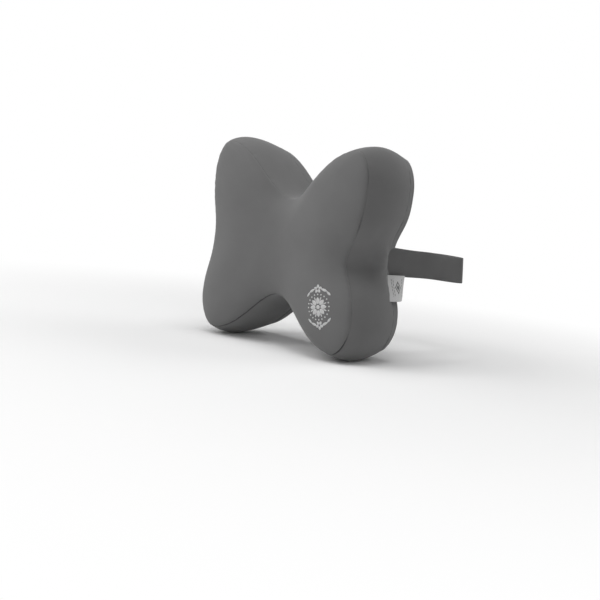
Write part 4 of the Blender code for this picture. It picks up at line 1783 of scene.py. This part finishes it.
@dataclass
class Embroidery:
    """Generic flower ornament in pale satin stitch on the lower right lobe.

    The leaves of one quarter have a place across and up, a lean in degrees, a length and a width. The dots
    have a number, the radius of their ring and their own. The powers of a blade set where it is widest and
    how full it is, and the slope is the share of its width over which its ends rise. The sink is how far
    the edges of the stitches go into the cloth.
    """

    panel: bpy.types.Object
    finish: bpy.types.Material
    centre: tuple[float, float] = (0.0740, -0.0570)
    tilt_deg: float = 11.5
    relief: float = 0.00045
    lift: float = 0.00010
    sink: float = 0.0001
    rings: tuple[Petals, ...] = (Petals(8, 0.0030, 0.0102, 0.0046), Petals(8, 0.0070, 0.0112, 0.0015, 112.5))
    bud: Petals = Petals(5, 0.0009, 0.0048, 0.0029)
    bud_up: float = 0.0186
    leaves: tuple[tuple[float, ...], ...] = (
        (0.0070, 0.0172, 66.0, 0.0078, 0.0026), (0.0122, 0.0136, 44.0, 0.0062, 0.0022))
    dots: tuple[int, float, float] = (20, 0.0130, 0.00080)
    heart_radius: float = 0.0022
    blade_grid: tuple[int, int] = (13, 7)
    blade_powers: tuple[float, float] = (0.85, 0.8)
    blade_slope: float = 0.3
    disc_grid: tuple[int, int] = (5, 17)
    ray_start: float = -0.2
    tree: BVHTree | None = None
    faces: list[list[int]] = field(default_factory=list)
    points: list[Vector] = field(default_factory=list)
    surface: list[tuple[float, float]] = field(default_factory=list)

    def build(self) -> None:
        """Stitch the whole ornament as one piece on the front panel."""
        graph = bpy.context.evaluated_depsgraph_get()
        self.tree = BVHTree.FromObject(self.panel, graph)
        for ring in self.rings:
            self.flower(ring, 0.0, ring.turn_deg)
        count, reach, radius = self.dots
        for angle in 2 * math.pi * np.arange(count) / count:
            self.disc(reach * math.cos(angle), reach * math.sin(angle), radius)
        for end in (1, -1):
            self.flower(self.bud, end * self.bud_up, end * self.bud.turn_deg)
            for side in (1, -1):
                for across, up, lean, length, width in self.leaves:
                    spot, angle = (side * across, end * up), 90 + side * end * lean
                    self.blade(*spot, angle, -length / 2, length / 2, width)
        self.disc(0.0, 0.0, self.heart_radius)
        mesh = bpy.data.meshes.new("rosette_stitch")
        mesh.from_pydata(self.points, [], self.faces)
        mapped = mesh.uv_layers.new(name="cloth")
        for loop in mesh.loops:
            mapped.data[loop.index].uv = self.surface[loop.vertex_index]
        mesh.shade_smooth()
        piece = new_object("rosette_stitch", mesh)
        turn_out(piece, Vector((0.0, 0.0, 0.0)))
        finish_piece(piece, Body.CUSHION, self.finish)

    def place(self, across: float, up: float, height: float) -> Vector:
        """Return a point of the ornament on the panel.

        Args:
            across: Distance to the ornament's right.
            up: Distance above its centre.
            height: Height above the cloth.

        Returns:
            Point in the model's frame.
        """
        tilt = math.radians(self.tilt_deg)
        x = self.centre[0] + across * math.cos(tilt) - up * math.sin(tilt)
        z = self.centre[1] + across * math.sin(tilt) + up * math.cos(tilt)
        hit, normal, _, _ = self.tree.ray_cast(Vector((x, self.ray_start, z)), Vector((0, 1, 0)))
        outward_normal = normal if normal.y < 0 else -normal
        return hit + outward_normal * (self.lift + height)

    def blade(self, x: float, y: float, angle_deg: float, start: float, end: float, width: float) -> None:
        """Stitch one pointed leaf shape.

        Args:
            x: Across, of the point that it grows from.
            y: Up, of that point.
            angle_deg: Direction in which it points.
            start: Distance at which it starts.
            end: Distance at which it ends.
            width: Its largest width.
        """
        angle = math.radians(angle_deg)
        ahead, side = Vector((math.cos(angle), math.sin(angle))), Vector((-math.sin(angle), math.cos(angle)))
        first = len(self.points)
        rows, columns = self.blade_grid
        place_power, full_power = self.blade_powers
        for row in range(rows):
            share = row / (rows - 1)
            along = start + (end - start) * share
            half = width / 2 * math.sin(math.pi * share**place_power) ** full_power
            dome = self.relief * min(1.0, half / (width * self.blade_slope))
            for column in range(columns):
                across = -1 + 2 * column / (columns - 1)
                spot = Vector((x, y)) + ahead * along + side * across * half
                height = dome * math.sqrt(max(0.0, 1 - across**2))
                self.points.append(self.place(spot.x, spot.y, height - self.sink))
                self.surface.append((across * half, along))
        self.join(first, rows, columns)

    def join(self, first: int, rows: int, columns: int) -> None:
        """Add the faces of a grid of points.

        Args:
            first: Index of its first point.
            rows: Number of rows.
            columns: Number of columns.
        """
        for row in range(rows - 1):
            for column in range(columns - 1):
                corner = first + row * columns + column
                self.faces.append([corner, corner + 1, corner + columns + 1, corner + columns])

    def flower(self, ring: Petals, up: float, turn_deg: float) -> None:
        """Stitch a ring of petals at a height, the first one turned by some degrees."""
        for petal in range(ring.count):
            self.blade(0.0, up, turn_deg + 360 * petal / ring.count, ring.start, ring.end, ring.width)

    def disc(self, x: float, y: float, radius: float) -> None:
        """Stitch a round domed spot.

        Args:
            x: Across.
            y: Up.
            radius: Its radius.
        """
        first = len(self.points)
        rings, columns = self.disc_grid
        for ring in range(rings):
            share = ring / (rings - 1)
            reach = radius * math.sin(math.pi / 2 * share)
            for column in range(columns):
                angle = 2 * math.pi * column / (columns - 1)
                across, up = reach * math.cos(angle), reach * math.sin(angle)
                height = self.relief * math.cos(math.pi / 2 * share) - self.sink
                self.points.append(self.place(x + across, y + up, height))
                self.surface.append((across, up))
        self.join(first, rings, columns)


@dataclass
class Zip:
    """Zip in the back panel: tapes, teeth, end stop, slider and pull.

    The cord along a tape's inner edge has a height and a reach. The wave has a height, and its radians a
    metre along the tape and across the whole of it. A tooth's size is its width as a share of the pitch
    and its depth as a share of the solid's.
    """

    tape: bpy.types.Material
    nylon: bpy.types.Material
    metal: bpy.types.Material
    tape_grid: tuple[int, int] = (90, 12)
    tape_thickness: float = 0.0005
    tape_sink: float = 0.0001
    cord: tuple[float, float] = (0.0004, 0.0007)
    wave: tuple[float, float, float] = (0.00010, 900.0, 5.0)
    pitch: float = 0.0019
    tooth_shift: float = 0.25
    tooth_gap: float = 0.0003
    tooth_size: tuple[float, float] = (0.42, 0.94)
    tooth_round: float = 0.00022
    stop_round: float = 0.0004
    slider_round: float = 0.00028
    pull_round: float = 0.00022

    def build(self) -> None:
        """Make all pieces of the zip."""
        for side in Side:
            self.tape_piece(side)
            self.teeth_piece(side)
        self.metal_piece("zip_end_stop", "zip_bottom_stop", Body.CUSHION, self.stop_round)
        self.metal_piece("zip_slider", "zip_slider_body", Body.SLIDER, self.slider_round)
        self.metal_piece("zip_pull", "zip_pull_tab", Body.PULL, self.pull_round)

    def node(self, part: str, side: Side) -> str:
        """Return the name of one row's node."""
        return f"zip_{part}_{side.name.lower()}"

    def tape_piece(self, side: Side) -> None:
        """Make one tape with a cord at its edge and a slight wave.

        Args:
            side: Upper or lower tape.
        """
        low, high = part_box(self.node("tape", side))
        near, far = (low.z, high.z) if side is Side.UPPER else (high.z, low.z)
        columns = np.linspace(low.x, high.x, self.tape_grid[0])
        cord_height, cord_reach = self.cord
        wave_height, along_turn, across_turn = self.wave
        rows = []
        for share in np.linspace(0.0, 1.0, self.tape_grid[1]):
            cord = cord_height * math.exp(-((share * abs(far - near)) / cord_reach) ** 2)
            wave = wave_height * np.sin(columns * along_turn + share * across_turn)
            up = np.full(len(columns), near + (far - near) * share)
            rows.append(np.column_stack([columns, high.y - self.tape_sink + cord + wave, up]))
        rows = np.array(rows)
        piece = mesh_from_rows(f"twill_tape_{side.name.lower()}", rows, rows[:, :, [0, 2]], closed=False)
        thicken = piece.modifiers.new("tape", "SOLIDIFY")
        thicken.thickness = self.tape_thickness
        thicken.offset = -1.0 if side is Side.UPPER else 1.0
        piece = applied(piece)
        finish_piece(piece, Body.CUSHION, self.tape)
        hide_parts(self.node("tape", side))

    def teeth_piece(self, side: Side) -> None:
        """Make one row of rounded teeth whose tips end just short of the other row's.

        Args:
            side: Upper or lower row.
        """
        low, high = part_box(self.node("teeth", side))
        middle_z = (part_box("zip_teeth_upper")[0].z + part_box("zip_teeth_lower")[1].z) / 2
        root = high.z if side is Side.UPPER else low.z
        tip = middle_z - side.value * self.tooth_gap
        bm = bmesh.new()
        count = int((high.x - low.x) / self.pitch)
        shift = 0.5 - side.value * self.tooth_shift
        size = (self.pitch * self.tooth_size[0], (high.y - low.y) * self.tooth_size[1], abs(root - tip))
        for tooth in range(count):
            x = low.x + (tooth + shift) * (high.x - low.x) / count
            where = Matrix.Translation((x, (low.y + high.y) / 2, (root + tip) / 2))
            bmesh.ops.create_cube(bm, size=1.0, matrix=where @ Matrix.Diagonal((*size, 1.0)))
        mesh = bpy.data.meshes.new(f"nylon_teeth_{side.name.lower()}")
        bm.to_mesh(mesh)
        bm.free()
        piece = new_object(mesh.name, mesh)
        rounded(piece, self.tooth_round, segments=2)
        finish_piece(piece, Body.CUSHION, self.nylon)
        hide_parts(self.node("teeth", side))

    def metal_piece(self, node: str, name: str, body: Body, bevel: float) -> None:
        """Make a rounded copy of a small metal node.

        Args:
            node: Node that it copies and replaces.
            name: Name of the piece.
            body: Body that it rides on.
            bevel: Radius of its edges.
        """
        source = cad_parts[node]
        piece = new_object(name, source.data.copy())
        rounded(piece, bevel, segments=3)
        finish_piece(piece, body, self.metal)
        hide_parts(node)


def rounded(piece: bpy.types.Object, width: float, segments: int) -> None:
    """Round a piece's hard edges for good.

    Args:
        piece: Object to round.
        width: Width of the rounding.
        segments: Steps of the rounding.
    """
    bevel = piece.modifiers.new("edges", "BEVEL")
    bevel.width = width
    bevel.segments = segments
    bevel.limit_method = "ANGLE"
    bevel.angle_limit = math.radians(ROUND_OVER_DEG)
    applied(piece)
    piece.data.shade_smooth()
    piece.data.set_sharp_from_angle(angle=math.radians(SHARP_OVER_DEG))


@dataclass
class Topstitch:
    """Row of lockstitches around the zip's opening."""

    finish: bpy.types.Material
    centre: tuple[float, float]
    half: tuple[float, float]
    margin: float = 0.0026
    stitch: float = 0.0024
    spacing: float = 0.0032
    radius: float = 0.00026
    lift: float = 0.00008
    look_ahead: float = 0.0004
    grid: tuple[int, int] = (8, 6)
    outline_points: int = 240

    def build(self) -> None:
        """Make the stitches as one piece."""
        half_length, half_height = (half + self.margin for half in self.half)
        outline = stadium(half_length, half_height, self.outline_points) + np.array(self.centre)
        ring = np.vstack([outline, outline[:1]])
        along = run_lengths(ring)
        count = int(along[-1] / self.spacing)
        around, up = self.grid
        bm = bmesh.new()
        for index in range(count):
            here = (index + 0.5) * along[-1] / count
            x, z = (np.interp(here, along, ring[:, axis]) for axis in range(2))
            next_x, next_z = (np.interp(here + self.look_ahead, along, ring[:, axis]) for axis in range(2))
            turn = math.atan2(next_z - z, next_x - x)
            where = Matrix.Translation((x, self.lift, z)) @ Matrix.Rotation(-turn, 4, "Y")
            size = Matrix.Diagonal((self.stitch / 2, self.radius, self.radius, 1.0))
            bmesh.ops.create_uvsphere(bm, u_segments=around, v_segments=up, radius=1.0, matrix=where @ size)
        mesh = bpy.data.meshes.new("zip_topstitch")
        bm.to_mesh(mesh)
        bm.free()
        mesh.shade_smooth()
        piece = new_object("zip_topstitch", mesh)
        finish_piece(piece, Body.CUSHION, self.finish)


@dataclass(frozen=True)
class PhotoCamera:
    """Camera that stands where the photograph was taken from."""

    azimuth_deg: float = 40.73
    elevation_deg: float = 2.89
    roll_deg: float = 6.71
    distance: float = 1.1667
    focal_px: float = 1057.0
    image_px: float = 600.0
    axis_px: tuple[float, float] = (305.55, 245.07)
    target: tuple[float, float, float] = (0.0, -0.0459, 0.0)
    sensor_mm: float = 36.0
    nearest: float = 0.01

    def build(self) -> None:
        """Make the camera and set it as the scene's."""
        azimuth, elevation = math.radians(self.azimuth_deg), math.radians(self.elevation_deg)
        roll = math.radians(self.roll_deg)
        flat = math.cos(elevation)
        back = Vector((math.sin(azimuth) * flat, -math.cos(azimuth) * flat, math.sin(elevation)))
        level = Vector((math.cos(azimuth), math.sin(azimuth), 0.0))
        upright = back.cross(level)
        right = level * math.cos(roll) + upright * math.sin(roll)
        up = upright * math.cos(roll) - level * math.sin(roll)
        data = bpy.data.cameras.new("photo_camera")
        data.sensor_width = self.sensor_mm
        data.sensor_fit = "HORIZONTAL"
        data.lens = self.focal_px / self.image_px * data.sensor_width
        middle = self.image_px / 2
        data.shift_x = (middle - self.axis_px[0]) / self.image_px
        data.shift_y = (self.axis_px[1] - middle) / self.image_px
        data.clip_start = self.nearest
        camera = new_object("photo_camera", data)
        turn = Matrix((right, up, back)).transposed()
        camera.matrix_world = Matrix.Translation(Vector(self.target) + back * self.distance) @ turn.to_4x4()
        bpy.context.scene.camera = camera


@dataclass(frozen=True)
class Lamp:
    """One soft rectangular light aimed at the cushion."""

    name: str
    place: tuple[float, float, float]
    size: float
    power: float
    aim: tuple[float, float, float] = CUSHION_MIDDLE

    def build(self) -> None:
        """Make the light."""
        data = bpy.data.lights.new(self.name, "AREA")
        data.shape = "SQUARE"
        data.size = self.size
        data.energy = self.power
        lamp = new_object(self.name, data)
        lamp.location = self.place
        away = Vector(self.place) - Vector(self.aim)
        lamp.rotation_euler = away.to_track_quat("Z", "Y").to_euler()


@dataclass
class Studio:
    """Pale floor, white surroundings and soft lights."""

    camera: PhotoCamera = PhotoCamera()
    floor_size: float = 8.0
    floor_gap: float = 0.0005
    floor_level: float = 0.97
    floor_bounce: float = 0.85
    floor_roughness: float = 0.9
    floor_specular: float = 0.1
    fade: tuple[float, float] = (0.18, 0.80)
    ambient: float = 0.06
    lamps: tuple[Lamp, ...] = (
        Lamp("key_light", (-0.75, -1.5, 1.35), 1.3, 15.6),
        Lamp("left_light", (-1.5, -0.5, 1.3), 1.2, 4.2),
        Lamp("right_light", (1.3, -1.4, 0.5), 1.3, 6.4),
        Lamp("top_light", (0.0, -0.35, 1.9), 1.3, 19.0),
        Lamp("low_light", (-0.4, -1.9, 0.05), 1.2, 4.2),
        Lamp("back_light", (0.6, 1.5, 1.0), 1.2, 10.0),
    )

    def build(self) -> None:
        """Make the camera, the lights, the floor and the surroundings."""
        self.camera.build()
        for lamp in self.lamps:
            lamp.build()
        self.floor()
        self.world()

    def floor(self) -> None:
        """Make the floor just under the cushion."""
        low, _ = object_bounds()
        half = self.floor_size / 2
        z = low[2] - self.floor_gap
        corners = [(-half, -half, z), (half, -half, z), (half, half, z), (-half, half, z)]
        mesh = bpy.data.meshes.new("floor")
        mesh.from_pydata(corners, [], [[0, 1, 2, 3]])
        floor = new_object("floor", mesh)
        floor.data.materials.append(self.floor_finish())
        floor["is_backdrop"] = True

    def floor_finish(self) -> bpy.types.Material:
        """Return a matt floor that fades to plain white away from the cushion and keeps its shadow."""
        graph = NodeGraph("pale_floor", self.floor_roughness)
        graph.set(Specular_IOR_Level=self.floor_specular)
        seen = graph.seen_directly()
        graph.colour(graph.ramp(seen, grey(self.floor_bounce), grey(self.floor_level)))
        where = graph.add("TexCoord").outputs["Object"]
        away = graph.add("VectorMath")
        away.operation = "LENGTH"
        graph.feed(away.inputs[0], where)
        fade = graph.add("MapRange", Value=away.outputs["Value"])
        fade.interpolation_type = "SMOOTHSTEP"
        fade.inputs["From Min"].default_value, fade.inputs["From Max"].default_value = self.fade
        white = graph.add("Emission", Strength=1.0)
        mix = graph.add("MixShader", Fac=graph.maths("MULTIPLY", fade.outputs["Result"], seen))
        graph.feed(mix.inputs[1], graph.shader.outputs[0])
        graph.feed(mix.inputs[2], white.outputs[0])
        graph.feed(graph.tree.nodes["Material Output"].inputs["Surface"], mix.outputs[0])
        return graph.material

    def world(self) -> None:
        """Show white behind the cushion and light it softly."""
        world = bpy.data.worlds.new("studio")
        world.use_nodes = True
        graph = NodeWriter(world.node_tree)
        background = graph.tree.nodes["Background"]
        level = graph.add("MapRange", Value=graph.seen_directly(), To_Min=self.ambient, To_Max=1.0)
        graph.feed(background.inputs["Strength"], level.outputs["Result"])
        graph.feed(background.inputs["Color"], (1.0, 1.0, 1.0, 1.0))
        bpy.context.scene.world = world


def foam_body() -> None:
    """Make the foam that fills the cover, hollowed where the cover is."""
    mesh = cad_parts["foam_core"].data.copy()
    bm = bmesh.new()
    bm.from_mesh(mesh)
    bmesh.ops.subdivide_edges(bm, edges=bm.edges, cuts=1, use_grid_fill=True)
    bm.to_mesh(mesh)
    bm.free()
    points = pressed(read_points(mesh))
    mesh.vertices.foreach_set("co", points.ravel())
    mesh.update()
    core = finish_piece(new_object("foam_body", mesh), Body.CUSHION, FoamFinish().build())
    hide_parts("foam_core")


def main() -> None:
    """Build every piece in order."""
    logging.basicConfig(level=logging.INFO, format="%(name)s: %(message)s")
    bpy.context.scene.view_settings.view_transform = "Standard"
    form = CushionForm()
    knit = KnitFinish().build()
    metal = MetalFinish().build()
    upper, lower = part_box("zip_teeth_upper"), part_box("zip_teeth_lower")
    slot_centre = (0.0, (upper[1].z + lower[0].z) / 2)
    slot_half = ((upper[1].x - upper[0].x) / 2 + OPENING_MARGIN, OPENING_HALF_HEIGHT)
    cover = Cover(form, ClothSwell(), SeamStyle(), knit, slot_centre, slot_half)
    cover.build()
    foam_body()
    Strap(WebbingFinish().build(), -form.back_seam_depth, form.strap_z).build()
    Label(form, LabelFinish().build()).build()
    Embroidery(cover.panels["cover_front"], ThreadFinish("rosette_thread", level=0.62).build()).build()
    Zip(TapeFinish().build(), NylonFinish().build(), metal).build()
    Topstitch(ThreadFinish("cover_thread", level=0.11, sheen=0.1).build(), slot_centre, slot_half).build()
    Studio().build()


if __name__ == "__main__":
    main()
